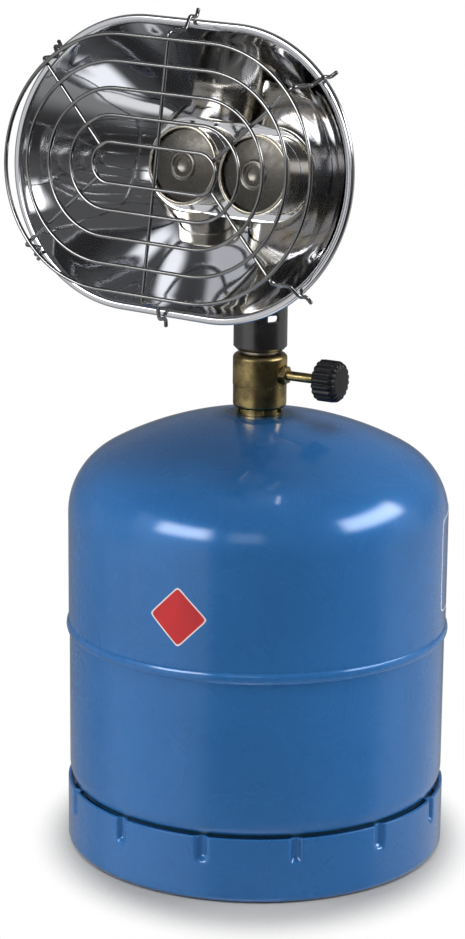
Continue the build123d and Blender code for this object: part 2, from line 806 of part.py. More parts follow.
for side, across in (("left", -burner_offset), ("right", burner_offset)):
    with BuildPart() as burner_neck:
        with BuildSketch(head_face(0, across)):
            Circle(tube_radius)
            Circle(tube_radius - tube_wall, mode=Mode.SUBTRACT)
        extrude(amount=burner_back - burner_wall)
        with BuildSketch(manifold_axis):
            Circle(manifold_radius + braze_gap)
        extrude(amount=2 * manifold_half, mode=Mode.SUBTRACT)
    burner_neck.part.label = f"burner_neck_{side}"
    export_step(burner_neck.part, f"parts/burner_neck_{side}.step")

    # The burner cup stands on the bowl's floor and its threaded spigot goes through it.
    with BuildPart() as burner_cup:
        with BuildSketch(head_face(burner_back, across)):
            Circle(burner_radius)
        extrude(amount=burner_height)
        with BuildSketch(head_face(burner_back + burner_wall, across)):
            Circle(burner_radius - burner_wall)
        extrude(amount=burner_height, mode=Mode.SUBTRACT)
        with BuildSketch(head_face(burner_back, across)):
            Circle(spigot_radius)
        extrude(amount=-spigot_length)
        with BuildSketch(head_face(burner_back - spigot_length, across)):
            Circle(tube_radius + braze_gap)
        extrude(amount=spigot_length - burner_wall, mode=Mode.SUBTRACT)
        with BuildSketch(head_face(burner_back - burner_wall, across)):
            Circle(tube_radius - tube_wall)
        extrude(amount=3 * burner_wall, mode=Mode.SUBTRACT)
    burner_cup.part.label = f"burner_cup_{side}"
    export_step(burner_cup.part, f"parts/burner_cup_{side}.step")

    with BuildPart() as clamp_nut:
        with BuildSketch(head_face(plate_back - clamp_nut_height, across)):
            RegularPolygon(clamp_nut_flat / 2, 6, major_radius=False)
            Circle(spigot_radius + weld_gap, mode=Mode.SUBTRACT)
        extrude(amount=clamp_nut_height)
    clamp_nut.part.label = f"clamp_nut_{side}"
    export_step(clamp_nut.part, f"parts/clamp_nut_{side}.step")

    # A baffle disc spreads the gas behind the gauze.
    baffle_face = burner_back + burner_wall + baffle_height
    with BuildPart() as baffle:
        with BuildSketch(head_face(baffle_face, across)):
            Circle(baffle_radius)
        extrude(amount=baffle_wall)
        with BuildSketch(head_face(burner_back + burner_wall, across)):
            with PolarLocations(baffle_radius - 1.5, 3):
                Circle(1.2)
        extrude(amount=baffle_height)
    baffle.part.label = f"baffle_{side}"
    export_step(baffle.part, f"parts/baffle_{side}.step")

    # The gauze is a shallow dome that closes the cup, held by a polished ring and a centre stud.
    burner_front = burner_back + burner_height
    gauze_radius = burner_radius - burner_wall - weld_gap
    dome_side = head_side(across, forward=burner_front - gauze_inset)
    with BuildPart() as gauze:
        with BuildSketch(dome_side):
            with BuildLine():
                ThreePointArc((-gauze_radius, 0), (0, gauze_crown), (gauze_radius, 0))
                ThreePointArc(
                    (-gauze_radius, -gauze_wall), (0, gauze_crown - gauze_wall), (gauze_radius, -gauze_wall)
                )
                Line((-gauze_radius, 0), (-gauze_radius, -gauze_wall))
                Line((gauze_radius, 0), (gauze_radius, -gauze_wall))
            make_face()
            with Locations((-gauze_radius, 0)):
                Rectangle(2 * gauze_radius, 2 * gauze_radius, mode=Mode.SUBTRACT)
        revolve(axis=Axis(on_head(across, rim_rise, 0), head_forward))
        with BuildSketch(head_face(0, across)):
            Circle(stud_recess + weld_gap)
        extrude(amount=rim_forward, mode=Mode.SUBTRACT)
    gauze.part.label = f"gauze_{side}"
    export_step(gauze.part, f"parts/gauze_{side}.step")

    with BuildPart() as gauze_ring:
        with BuildSketch(head_face(burner_front, across)):
            Circle(ring_radius)
            Circle(ring_radius - ring_width, mode=Mode.SUBTRACT)
        extrude(amount=burner_wall)
        with BuildSketch(head_face(burner_front, across)):
            Circle(ring_radius)
            Circle(burner_radius + weld_gap, mode=Mode.SUBTRACT)
        extrude(amount=-ring_height)
    gauze_ring.part.label = f"gauze_ring_{side}"
    export_step(gauze_ring.part, f"parts/gauze_ring_{side}.step")

    stud_base = burner_front - gauze_inset + gauze_crown - gauze_wall
    stud_seat = baffle_face + baffle_wall
    with BuildPart() as centre_stud:
        with BuildSketch(head_face(stud_seat, across)):
            Circle(stud_recess)
        extrude(amount=stud_base + gauze_wall - stud_seat)
        with BuildSketch(head_face(stud_base + gauze_wall, across)):
            Circle(stud_radius)
        extrude(amount=stud_height)
        fillet(
            centre_stud.edges().filter_by(GeomType.CIRCLE).group_by(Axis(on_head(0, 0, 0), head_forward))[-1],
            radius=stud_height / 2,
        )
    centre_stud.part.label = f"centre_stud_{side}"
    export_step(centre_stud.part, f"parts/centre_stud_{side}.step")

# ================================================================ reflector
# The bowl's wall is a parabola from its flat floor to the rim, carried round an oblong: extruded
# between the round ends and turned through half a circle at each of them.
lip_radius = rim_radius - bead_radius - flange_width
focal_length = (lip_radius**2 - bowl_floor_radius**2) / (4 * bowl_depth)
floor_slope = bowl_floor_radius / (2 * focal_length)
lip_slope = lip_radius / (2 * focal_length)


def shifted(point, slope, distance):
    """A point moved out of the bowl, square to a curve of that slope."""
    length = sqrt(1 + slope**2)
    return (point[0] + distance * slope / length, point[1] - distance / length)


def parabola(distance):
    """Bezier points of the bowl's wall, moved outwards by a distance."""
    start = shifted((bowl_floor_radius, -bowl_depth), floor_slope, distance)
    finish = shifted((lip_radius, 0), lip_slope, distance)
    rise = finish[1] - start[1] + floor_slope * start[0] - lip_slope * finish[0]
    middle = rise / (floor_slope - lip_slope)
    return start, (middle, start[1] + floor_slope * (middle - start[0])), finish


def bowl_section(sign):
    """One side of the bowl's wall with its floor, flange and rolled edge, as a sketch face."""
    inner = parabola(0)
    outer = parabola(bowl_wall)
    with BuildSketch(Plane.XY) as section:
        with BuildLine():
            Line((0, -bowl_depth), inner[0])
            Bezier(*inner)
            Line(inner[2], (lip_radius + flange_width, 0))
            Line((lip_radius + flange_width, 0), (lip_radius + flange_width, -bowl_wall))
            Line((lip_radius + flange_width, -bowl_wall), outer[2])
            Bezier(*outer)
            Polyline(
                outer[0],
                (outer[0][0], -bowl_depth - bowl_wall),
                (0, -bowl_depth - bowl_wall),
                (0, -bowl_depth),
            )
        make_face()
        with Locations((rim_radius - bead_radius, -bead_radius)):
            Circle(bead_radius)
    if sign > 0:
        return section.sketch
    return section.sketch.mirror(Plane.YZ)


end_side = head_side(end_offset, forward=rim_forward)
middle_side = head_side(0, forward=rim_forward)

with BuildPart() as reflector:
    with BuildSketch(end_side):
        add(bowl_section(-1))
    revolve(axis=Axis(on_head(end_offset, rim_rise, 0), head_forward), revolution_arc=180)
    with BuildSketch(middle_side):
        add(bowl_section(1))
        add(bowl_section(-1))
    extrude(amount=end_offset)
    mirror(about=middle_side)
    with BuildSketch(head_face(plate_back)):
        with Locations((burner_offset, 0), (-burner_offset, 0)):
            Circle(spigot_radius + weld_gap)
    extrude(amount=bowl_depth / 2, mode=Mode.SUBTRACT)
reflector.part.label = "reflector"
export_step(reflector.part, "parts/reflector.step")

plate_radius = bowl_floor_radius - plate_margin

with BuildPart() as mounting_plate:
    with BuildSketch(head_face(plate_back)):
        SlotOverall(2 * (end_offset + plate_radius), 2 * plate_radius)
        with Locations((burner_offset, 0), (-burner_offset, 0)):
            Circle(spigot_radius + weld_gap, mode=Mode.SUBTRACT)
    extrude(amount=plate_wall)
mounting_plate.part.label = "mounting_plate"
export_step(mounting_plate.part, "parts/mounting_plate.step")

# ================================================================ wire guard
ring_forward = rim_forward + guard_standoff
wire_forward = ring_forward - 2 * wire_radius - weld_gap
outer_ring_radius = inner_ring_radius + ring_pitch * (guard_rings - 1)

with BuildPart() as guard_hoops:
    for ring in range(guard_rings):
        hoop_radius = inner_ring_radius + ring_pitch * ring
        with BuildSketch(head_side(end_offset, forward=ring_forward)):
            with Locations((-hoop_radius, 0)):
                Circle(wire_radius)
        revolve(axis=Axis(on_head(end_offset, rim_rise, 0), head_forward), revolution_arc=180)
        with BuildSketch(head_side(-end_offset, forward=ring_forward)):
            with Locations((hoop_radius, 0)):
                Circle(wire_radius)
        revolve(axis=Axis(on_head(-end_offset, rim_rise, 0), head_forward), revolution_arc=180)
        with BuildSketch(head_side(-end_offset, forward=ring_forward)):
            with Locations((hoop_radius, 0), (-hoop_radius, 0)):
                Circle(wire_radius)
        extrude(amount=2 * end_offset)
guard_hoops.part.label = "guard_hoops"
export_step(guard_hoops.part, "parts/guard_hoops.step")

# Each guard wire runs behind the hoops, steps back to the rim and hooks over its rolled edge.
leg_profile = [
    (outer_ring_radius + leg_overrun, wire_forward),
    (outer_ring_radius + leg_overrun + 2.0, wire_forward - leg_drop),
    (rim_radius + wire_radius + leg_step_clearance, wire_forward - leg_drop - 3.0),
    (rim_radius + wire_radius + leg_step_clearance, rim_forward - 2 * bead_radius - wire_radius),
    (rim_radius + wire_radius + leg_tip, rim_forward - 2 * bead_radius - 2 * wire_radius),
]


def leg_points(across, angle):
    """Points of a guard leg that runs out from the centre of a round end at an angle from +X."""
    return [
        on_head(across + reach * cos(radians(angle)), rim_rise + reach * sin(radians(angle)), forward)
        for reach, forward in leg_profile
    ]


with BuildPart() as guard_upright:
    with BuildLine() as upright_line:
        FilletPolyline(*reversed(leg_points(0, 90)), *leg_points(0, -90), radius=wire_bend)
    with BuildSketch(Plane(origin=upright_line.wire() @ 0, z_dir=upright_line.wire() % 0)):
        Circle(wire_radius)
    sweep()
guard_upright.part.label = "guard_upright"
export_step(guard_upright.part, "parts/guard_upright.step")

spoke_start_reach = inner_ring_radius * cos(radians(spoke_angle / 2))
spoke_start_rise = inner_ring_radius * sin(radians(spoke_angle / 2))

for number, (outward, upward) in enumerate(((1, 1), (1, -1), (-1, 1), (-1, -1)), start=1):
    across = outward * end_offset
    leg_angle = upward * (spoke_angle if outward > 0 else 180 - spoke_angle)
    spoke_start = on_head(
        across + outward * spoke_start_reach,
        rim_rise + upward * spoke_start_rise,
        wire_forward,
    )
    with BuildPart() as guard_spoke:
        with BuildLine() as spoke_line:
            FilletPolyline(spoke_start, *leg_points(across, leg_angle), radius=wire_bend)
        with BuildSketch(Plane(origin=spoke_line.wire() @ 0, z_dir=spoke_line.wire() % 0)):
            Circle(wire_radius)
        sweep()
    guard_spoke.part.label = f"guard_spoke_{number}"
    export_step(guard_spoke.part, f"parts/guard_spoke_{number}.step")
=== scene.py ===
import logging
import math
from dataclasses import dataclass, field
from enum import Enum

import bmesh
import bpy
import numpy as np
from mathutils import Matrix, Vector


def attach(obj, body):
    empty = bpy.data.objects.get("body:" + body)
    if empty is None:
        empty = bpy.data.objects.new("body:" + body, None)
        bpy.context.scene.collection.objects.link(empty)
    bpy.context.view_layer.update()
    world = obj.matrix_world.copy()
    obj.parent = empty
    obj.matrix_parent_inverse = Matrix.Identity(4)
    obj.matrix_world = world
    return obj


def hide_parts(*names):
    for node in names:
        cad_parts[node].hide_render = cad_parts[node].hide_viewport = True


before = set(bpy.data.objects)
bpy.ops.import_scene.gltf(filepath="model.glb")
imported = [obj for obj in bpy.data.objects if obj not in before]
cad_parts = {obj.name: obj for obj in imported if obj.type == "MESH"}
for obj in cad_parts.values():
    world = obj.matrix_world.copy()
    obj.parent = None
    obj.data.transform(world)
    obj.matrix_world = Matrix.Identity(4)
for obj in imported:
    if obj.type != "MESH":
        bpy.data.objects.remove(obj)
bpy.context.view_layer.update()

log = logging.getLogger("heater")

MM = 0.001
TURN = 2.0 * math.pi
UP = (0.0, 0.0, 1.0)

# Angles of the head in radians, its pivot's height in metres.
HEAD_TILT = math.radians(7.0)
HEAD_LEAN = math.radians(2.2)
PIVOT_HEIGHT = 0.3030248576

# The head's middle above the pivot, its round ends' offset and the reflector's rim, in millimetres.
HEAD_RISE = 61.2
HEAD_OFFSET = 25.2
RIM_FORWARD = 94.9
RIM_RADIUS = 73.1

# Outside of the cylinder's shell, in millimetres, and the camera's azimuth, in degrees.
SHELL_RADIUS = 101.5
CAMERA_TURN = 30.5


# ------------------------------------------------------------------ names
class Body(Enum):
    """The bodies that move by themselves."""

    CYLINDER = "cylinder"
    HEATER = "heater"
    CONTROL = "control"
    HEAD = "head"


class Slot(Enum):
    """The material slots of the record."""

    PAINT = "cylinder_paint"
    BRASS = "brass"
    ZINC = "zinc_steel"
    SPRING = "spring_steel"
    RUBBER = "rubber"
    PLASTIC = "black_plastic"
    BLACK = "black_coat"
    TUBE = "tube_steel"
    BURNER = "burner_steel"
    GAUZE = "gauze"
    MIRROR = "polished_steel"
    WIRE = "guard_wire"


# ------------------------------------------------------------------ shader graphs
class Graph:
    """Short ways to add and wire the nodes of one tree."""

    def __init__(self, tree: bpy.types.NodeTree) -> None:
        """Keep the tree that the nodes go into."""
        self.tree = tree

    def add(self, kind: str, **settings: object) -> bpy.types.Node:
        """Add a node.

        Args:
            kind: the node's type name, such as ShaderNodeMath.
            settings: properties of the node and their values.

        Returns:
            The new node.
        """
        node = self.tree.nodes.new(kind)
        for key, value in settings.items():
            setattr(node, key, value)
        return node

    def feed(self, socket: bpy.types.NodeSocket, value: object) -> None:
        """Give an input socket a link or a constant.

        Args:
            socket: the input socket.
            value: an output socket, a number, a tuple, or None to leave it alone.
        """
        if isinstance(value, bpy.types.NodeSocket):
            self.tree.links.new(value, socket)
        elif value is not None:
            socket.default_value = value

    def math(self, operation: str, *values: object, clamp: bool = False) -> bpy.types.NodeSocket:
        """Add a Math node and return its result.

        Args:
            operation: the node's operation.
            values: its inputs, in order.
            clamp: whether the result stays between 0 and 1.

        Returns:
            The result socket.
        """
        node = self.add("ShaderNodeMath", operation=operation, use_clamp=clamp)
        for socket, value in zip(node.inputs, values):
            self.feed(socket, value)
        return node.outputs[0]

    def dot(self, vector: object, direction: tuple[float, float, float]) -> bpy.types.NodeSocket:
        """Return the dot product of a vector and a constant direction."""
        node = self.add("ShaderNodeVectorMath", operation="DOT_PRODUCT")
        self.feed(node.inputs[0], vector)
        self.feed(node.inputs[1], direction)
        return node.outputs["Value"]

    def remap(
        self,
        value: object,
        start: object,
        end: object,
        low: object = 0.0,
        high: object = 1.0,
        smooth: bool = False,
    ) -> bpy.types.NodeSocket:
        """Carry a value from one range to another, held at the ends.

        Args:
            value: the value that is carried.
            start: the value that becomes low.
            end: the value that becomes high.
            low: result at the start.
            high: result at the end.
            smooth: whether the ends ease in and out.

        Returns:
            The result socket.
        """
        kind = "SMOOTHSTEP" if smooth else "LINEAR"
        node = self.add("ShaderNodeMapRange", interpolation_type=kind, clamp=True)
        names = ("Value", "From Min", "From Max", "To Min", "To Max")
        for name, item in zip(names, (value, start, end, low, high)):
            self.feed(node.inputs[name], item)
        return node.outputs["Result"]

    def noise(
        self,
        vector: object,
        scale: object,
        detail: float = 3.0,
        roughness: float = 0.5,
        distortion: float = 0.0,
    ) -> bpy.types.NodeSocket:
        """Add a Noise Texture and return its factor.

        Args:
            vector: the coordinates.
            scale: cells in one metre.
            detail: octaves.
            roughness: share that each octave keeps.
            distortion: how far the coordinates are bent.

        Returns:
            The factor socket.
        """
        node = self.add("ShaderNodeTexNoise")
        names = ("Vector", "Scale", "Detail", "Roughness", "Distortion")
        for name, item in zip(names, (vector, scale, detail, roughness, distortion)):
            self.feed(node.inputs[name], item)
        return node.outputs["Fac"]

    def stretch(self, vector: object, factors: tuple[float, float, float]) -> bpy.types.NodeSocket:
        """Return a vector with each axis multiplied by its factor."""
        node = self.add("ShaderNodeVectorMath", operation="MULTIPLY")
        self.feed(node.inputs[0], vector)
        self.feed(node.inputs[1], factors)
        return node.outputs["Vector"]

    def mix(self, factor: object, first: object, second: object, blend: str = "MIX") -> bpy.types.NodeSocket:
        """Mix two colours.

        Args:
            factor: share of the second colour.
            first: first colour.
            second: second colour.
            blend: how they are mixed.

        Returns:
            The mixed colour's socket.
        """
        node = self.add("ShaderNodeMix", data_type="RGBA", blend_type=blend)
        self.feed(node.inputs[0], factor)
        self.feed(node.inputs[6], first)
        self.feed(node.inputs[7], second)
        return node.outputs[2]

    def bump(
        self, height: object, distance: float, strength: float = 1.0, normal: object = None
    ) -> bpy.types.NodeSocket:
        """Tilt the normal by a height.

        Args:
            height: the height, from 0 to 1.
            distance: what a height of 1 stands for, in metres.
            strength: share of the effect.
            normal: the normal before it, or None for the surface's own.

        Returns:
            The new normal's socket.
        """
        node = self.add("ShaderNodeBump")
        self.feed(node.inputs["Height"], height)
        self.feed(node.inputs["Distance"], distance)
        self.feed(node.inputs["Strength"], strength)
        self.feed(node.inputs["Normal"], normal)
        return node.outputs["Normal"]

    def grey(self, level: object) -> bpy.types.NodeSocket:
        """Return the grey colour of a level."""
        node = self.add("ShaderNodeCombineColor")
        for channel in node.inputs[:3]:
            self.feed(channel, level)
        return node.outputs["Color"]

    def group(self, tree: bpy.types.NodeTree, **values: object) -> bpy.types.Node:
        """Add a group node.

        Args:
            tree: the group's tree.
            values: its inputs by name, with underscores for spaces.

        Returns:
            The group node.
        """
        node = self.add("ShaderNodeGroup")
        node.node_tree = tree
        for name, value in values.items():
            self.feed(node.inputs[name.replace("_", " ")], value)
        return node


def blank(owner: bpy.types.Material | bpy.types.World) -> Graph:
    """Empty the node tree of a material or world and return its graph."""
    owner.use_nodes = True
    owner.node_tree.nodes.clear()
    return Graph(owner.node_tree)


class GroupBuilder(Graph):
    """Starts a shader node group that takes coordinates and named numbers."""

    def __init__(self, name: str, inputs: dict[str, float], outputs: dict[str, str]) -> None:
        """Make the group's tree and its sockets.

        Args:
            name: name of the group.
            inputs: default by the name of each input after the coordinates.
            outputs: kind by output name, Float or Vector.
        """
        super().__init__(bpy.data.node_groups.new(name, "ShaderNodeTree"))
        sockets = self.tree.interface
        sockets.new_socket("Coordinates", in_out="INPUT", socket_type="NodeSocketVector")
        for key, default in inputs.items():
            socket = sockets.new_socket(key, in_out="INPUT", socket_type="NodeSocketFloat")
            socket.default_value = default
        for key, kind in outputs.items():
            sockets.new_socket(key, in_out="OUTPUT", socket_type="NodeSocket" + kind)
        self.entry = self.add("NodeGroupInput")
        self.exit = self.add("NodeGroupOutput")

    def take(self, name: str) -> bpy.types.NodeSocket:
        """Return the group's input with that name."""
        return self.entry.outputs[name]

    def give(self, name: str, value: bpy.types.NodeSocket) -> None:
        """Wire a value to the group's output with that name."""
        self.feed(self.exit.inputs[name], value)


class Effects:
    """Shader node groups that the finishes share."""

    def __init__(self) -> None:
        """Build every group once."""
        self.wear = self.build_wear()
        self.grain = self.build_grain()
        self.dust = self.build_dust()
        self.smudge = self.build_smudge()

    @staticmethod
    def build_wear() -> bpy.types.NodeTree:
        """Build the mask of worn edges.

        The mask is the angle between a bevelled normal and the plain one, broken up by noise.

        Returns:
            The group's tree.
        """
        inputs = {"Radius": 0.0006, "Amount": 0.5, "Scale": 400.0}
        g = GroupBuilder("edge_wear", inputs, {"Mask": "Float", "Normal": "Vector"})
        bevel = g.add("ShaderNodeBevel", samples=6)
        g.feed(bevel.inputs["Radius"], g.take("Radius"))
        geometry = g.add("ShaderNodeNewGeometry")
        turn = g.add("ShaderNodeVectorMath", operation="DOT_PRODUCT")
        g.feed(turn.inputs[0], bevel.outputs["Normal"])
        g.feed(turn.inputs[1], geometry.outputs["Normal"])
        edge = g.remap(turn.outputs["Value"], 0.995, 0.9)
        patches = g.remap(g.noise(g.take("Coordinates"), g.take("Scale"), 3.0, 0.6), 0.42, 0.62)
        g.give("Mask", g.math("MULTIPLY", g.math("MULTIPLY", edge, patches), g.take("Amount"), clamp=True))
        g.give("Normal", bevel.outputs["Normal"])
        return g.tree

    @staticmethod
    def build_grain() -> bpy.types.NodeTree:
        """Build the fine grain of a surface.

        Returns:
            The group's tree, with the grain's height and a slow shade variation.
        """
        inputs = {"Fine": 3000.0, "Coarse": 60.0}
        g = GroupBuilder("surface_grain", inputs, {"Height": "Float", "Shade": "Float"})
        g.give("Height", g.noise(g.take("Coordinates"), g.take("Fine"), 2.0, 0.5))
        slow = g.noise(g.take("Coordinates"), g.take("Coarse"), 4.0, 0.6)
        g.give("Shade", g.remap(slow, 0.3, 0.7, smooth=True))
        return g.tree

    @staticmethod
    def build_dust() -> bpy.types.NodeTree:
        """Build the mask of dust, which lies on what faces up.

        Returns:
            The group's tree.
        """
        g = GroupBuilder("dust", {"Amount": 0.2, "Scale": 900.0}, {"Mask": "Float"})
        geometry = g.add("ShaderNodeNewGeometry")
        upward = g.remap(g.dot(geometry.outputs["Normal"], UP), 0.1, 1.0, 0.15, 1.0)
        specks = g.remap(g.noise(g.take("Coordinates"), g.take("Scale"), 4.0, 0.7), 0.5, 0.75)
        g.give("Mask", g.math("MULTIPLY", g.math("MULTIPLY", upward, specks), g.take("Amount"), clamp=True))
        return g.tree

    @staticmethod
    def build_smudge() -> bpy.types.NodeTree:
        """Build the faint smears that handling leaves on a gloss surface.

        Returns:
            The group's tree.
        """
        g = GroupBuilder("smudge", {"Amount": 0.5, "Scale": 30.0}, {"Mask": "Float"})
        bent = g.noise(g.take("Coordinates"), g.take("Scale"), 5.0, 0.62, 1.2)
        smears = g.remap(bent, 0.45, 0.7, smooth=True)
        g.give("Mask", g.math("MULTIPLY", smears, g.take("Amount"), clamp=True))
        return g.tree


# ------------------------------------------------------------------ finishes
@dataclass(frozen=True)
class Finish:
    """What every finish has: a name and its colours.

    Attributes:
        name: the material's name.
        colour: main colour, linear.
        shade: second colour that the main one drifts to.
        roughness: mean roughness.
    """

    name: str
    colour: tuple[float, float, float]
    shade: tuple[float, float, float]
    roughness: float

    def start(self) -> tuple[bpy.types.Material, Graph, bpy.types.Node, bpy.types.NodeSocket]:
        """Make an empty material with a Principled BSDF.

        Returns:
            The material, its graph, the shader node and the Object coordinates.
        """
        material = bpy.data.materials.new(self.name)
        graph = blank(material)
        shader = graph.add("ShaderNodeBsdfPrincipled")
        output = graph.add("ShaderNodeOutputMaterial")
        graph.feed(output.inputs["Surface"], shader.outputs["BSDF"])
        coordinates = graph.add("ShaderNodeTexCoord").outputs["Object"]
        material.diffuse_color = (*self.colour, 1.0)
        return material, graph, shader, coordinates

    def drift(self, g: Graph, share: object) -> bpy.types.NodeSocket:
        """Return the main colour, drifting to the second one by a share."""
        return g.mix(share, (*self.colour, 1.0), (*self.shade, 1.0))

    def build(self, effects: Effects) -> bpy.types.Material:
        """Make the finish's material; each kind of finish has its own way."""
        raise NotImplementedError


@dataclass(frozen=True)
class PaintFinish(Finish):
    """Gloss enamel with a clear gloss, orange peel, dust and faint smears, plus painted shade round the
    valve and a painted shadow line over the foot ring.

    Attributes:
        peel: depth of the orange peel, in metres.
        dust: share of dust.
        coat: weight of the clear gloss.
        flake: share of metal flake in the colour.
        valve_shade_radius: radius round the upright axis of the painted shade at the valve's foot, in
            metres.
        valve_shade_rise: heights between which that painted shade comes in, in metres.
        stained_and_shaded: colour of the painted shade and of the painted shadow line.
        foot_shadow: lowest and highest height of the painted shadow line over the foot ring, in metres.
        foot_shadow_reach: radii between which that painted shadow line runs out, in metres.
    """

    peel: float = 0.000012
    dust: float = 0.12
    coat: float = 1.0
    flake: float = 0.18
    valve_shade_radius: float = 0.028
    valve_shade_rise: tuple[float, float] = (0.225, 0.232)
    stained_and_shaded: tuple[float, float, float] = (0.006, 0.032, 0.050)
    foot_shadow: tuple[float, float] = (0.035, 0.0378)
    foot_shadow_reach: tuple[float, float] = (0.1004, 0.1010)

    def build(self, effects: Effects) -> bpy.types.Material:
        """Make the enamel's material.

        Args:
            effects: the shared node groups.

        Returns:
            The material.
        """
        material, g, shader, place = self.start()
        grain = g.group(effects.grain, Coordinates=place, Fine=420.0, Coarse=14.0)
        dust = g.group(effects.dust, Coordinates=place, Amount=self.dust).outputs["Mask"]
        smear = g.group(effects.smudge, Coordinates=place, Amount=0.6).outputs["Mask"]
        body = self.drift(g, grain.outputs["Shade"])
        axis = g.add("ShaderNodeVectorMath", operation="LENGTH")
        g.feed(axis.inputs[0], g.stretch(place, (1.0, 1.0, 0.0)))
        # Painted shade: the enamel turns dark teal round the valve's foot, blotched by noise, and loses most
        # of its clear gloss there.
        stain_and_shade = g.remap(axis.outputs["Value"], 0.5 * self.valve_shade_radius, self.valve_shade_radius, 1.0, 0.0, smooth=True)
        height = g.dot(place, UP)
        stain_and_shade = g.math("MULTIPLY", stain_and_shade, g.remap(height, *self.valve_shade_rise, 0.0, 0.85))
        stain_and_shade = g.math("MULTIPLY", stain_and_shade, g.remap(g.noise(place, 260.0), 0.3, 0.7, 0.7, 1.0))
        # Painted shadow: a dark line on the lower shell just above the foot ring's upper edge, where the gap
        # behind the ring is in shade; it takes the same colour as the painted shade at the valve.
        low, high = self.foot_shadow
        above, below = g.remap(height, low, low + 0.0003), g.remap(height, high - 0.0014, high, 0.96, 0.0)
        within = g.remap(axis.outputs["Value"], *self.foot_shadow_reach, 1.0, 0.0)
        line = g.math("MULTIPLY", g.math("MULTIPLY", above, below), within)
        stain_and_shade = g.math("MAXIMUM", stain_and_shade, line)
        body = g.mix(stain_and_shade, body, (*self.stained_and_shaded, 1.0))
        g.feed(shader.inputs["Base Color"], g.mix(dust, body, (0.55, 0.55, 0.53, 1.0)))
        rough = g.math("MULTIPLY_ADD", smear, 0.05, self.roughness)
        g.feed(shader.inputs["Roughness"], g.math("ADD", rough, g.math("MULTIPLY", dust, 0.4), clamp=True))
        g.feed(shader.inputs["Normal"], g.bump(grain.outputs["Height"], self.peel))
        bare = g.math("SUBTRACT", 1.0, dust)
        g.feed(shader.inputs["Metallic"], g.math("MULTIPLY", bare, self.flake))
        g.feed(shader.inputs["IOR"], 1.5)
        g.feed(shader.inputs["Specular IOR Level"], 0.1)
        g.feed(shader.inputs["Coat Weight"], g.math("MULTIPLY_ADD", stain_and_shade, -0.7 * self.coat, self.coat))
        g.feed(shader.inputs["Coat Roughness"], 0.09)
        return material


@dataclass(frozen=True)
class MetalFinish(Finish):
    """Bare, plated or oxidised metal with grain, brushed streaks, stains and bright edges.

    Attributes:
        fine: grain cells in a metre.
        depth: depth of the grain, in metres.
        spread: how far the roughness varies.
        streak: stretch of the grain along each axis.
        edge: radius of the edges, in metres.
        wear: share of worn edges.
        stain_and_shade: share of the second colour.
        coarse: stain cells in a metre.
        dust: share of dust.
    """

    fine: float = 2200.0
    depth: float = 0.000004
    spread: float = 0.12
    streak: tuple[float, float, float] = (1.0, 1.0, 1.0)
    edge: float = 0.0004
    wear: float = 0.4
    stain_and_shade: float = 0.7
    coarse: float = 70.0
    dust: float = 0.05

    def build(self, effects: Effects) -> bpy.types.Material:
        """Make the metal's material.

        Args:
            effects: the shared node groups.

        Returns:
            The material.
        """
        material, g, shader, place = self.start()
        lined = g.stretch(place, self.streak)
        grain = g.group(effects.grain, Coordinates=lined, Fine=self.fine, Coarse=self.coarse)
        wear = g.group(effects.wear, Coordinates=place, Radius=self.edge, Amount=self.wear)
        dust = g.group(effects.dust, Coordinates=place, Amount=self.dust).outputs["Mask"]
        smear = g.group(effects.smudge, Coordinates=place, Amount=1.0, Scale=55.0).outputs["Mask"]
        stained_and_shaded = g.math("MULTIPLY", grain.outputs["Shade"], self.stain_and_shade)
        body = self.drift(g, stained_and_shaded)
        bright = tuple(min(1.0, c * 1.25 + 0.04) for c in self.colour)
        body = g.mix(wear.outputs["Mask"], body, (*bright, 1.0))
        g.feed(shader.inputs["Base Color"], g.mix(dust, body, (0.5, 0.49, 0.47, 1.0)))
        g.feed(shader.inputs["Metallic"], g.math("SUBTRACT", 1.0, dust))
        rough = g.math("MULTIPLY_ADD", grain.outputs["Shade"], self.spread, self.roughness)
        rough = g.math("MULTIPLY_ADD", smear, self.spread, rough)
        g.feed(shader.inputs["Roughness"], g.math("MULTIPLY_ADD", dust, 0.4, rough, clamp=True))
        normal = wear.outputs["Normal"]
        g.feed(shader.inputs["Normal"], g.bump(grain.outputs["Height"], self.depth, normal=normal))
        return material


@dataclass(frozen=True)
class CoatFinish(Finish):
    """Plastic, rubber or a thick black coat: a dielectric with texture, worn edges and dust.

    Attributes:
        fine: texture cells in a metre.
        depth: depth of the texture, in metres.
        edge: radius of the edges, in metres.
        wear: share of worn edges.
        worn: colour that shows where the edge is worn.
        dust: share of dust.
        index: refractive index, which sets how strongly it mirrors.
    """

    fine: float = 2600.0
    depth: float = 0.00002
    edge: float = 0.0004
    wear: float = 0.3
    worn: tuple[float, float, float] = (0.2, 0.2, 0.2)
    dust: float = 0.25
    index: float = 1.5

    def build(self, effects: Effects) -> bpy.types.Material:
        """Make the coat's material.

        Args:
            effects: the shared node groups.

        Returns:
            The material.
        """
        material, g, shader, place = self.start()
        grain = g.group(effects.grain, Coordinates=place, Fine=self.fine, Coarse=90.0)
        wear = g.group(effects.wear, Coordinates=place, Radius=self.edge, Amount=self.wear)
        dust = g.group(effects.dust, Coordinates=place, Amount=self.dust).outputs["Mask"]
        body = self.drift(g, grain.outputs["Shade"])
        body = g.mix(wear.outputs["Mask"], body, (*self.worn, 1.0))
        g.feed(shader.inputs["Base Color"], g.mix(dust, body, (0.42, 0.41, 0.39, 1.0)))
        g.feed(shader.inputs["IOR"], self.index)
        rough = g.math("MULTIPLY_ADD", grain.outputs["Shade"], 0.12, self.roughness)
        g.feed(shader.inputs["Roughness"], g.math("MULTIPLY_ADD", dust, 0.4, rough, clamp=True))
        normal = wear.outputs["Normal"]
        g.feed(shader.inputs["Normal"], g.bump(grain.outputs["Height"], self.depth, normal=normal))
        return material


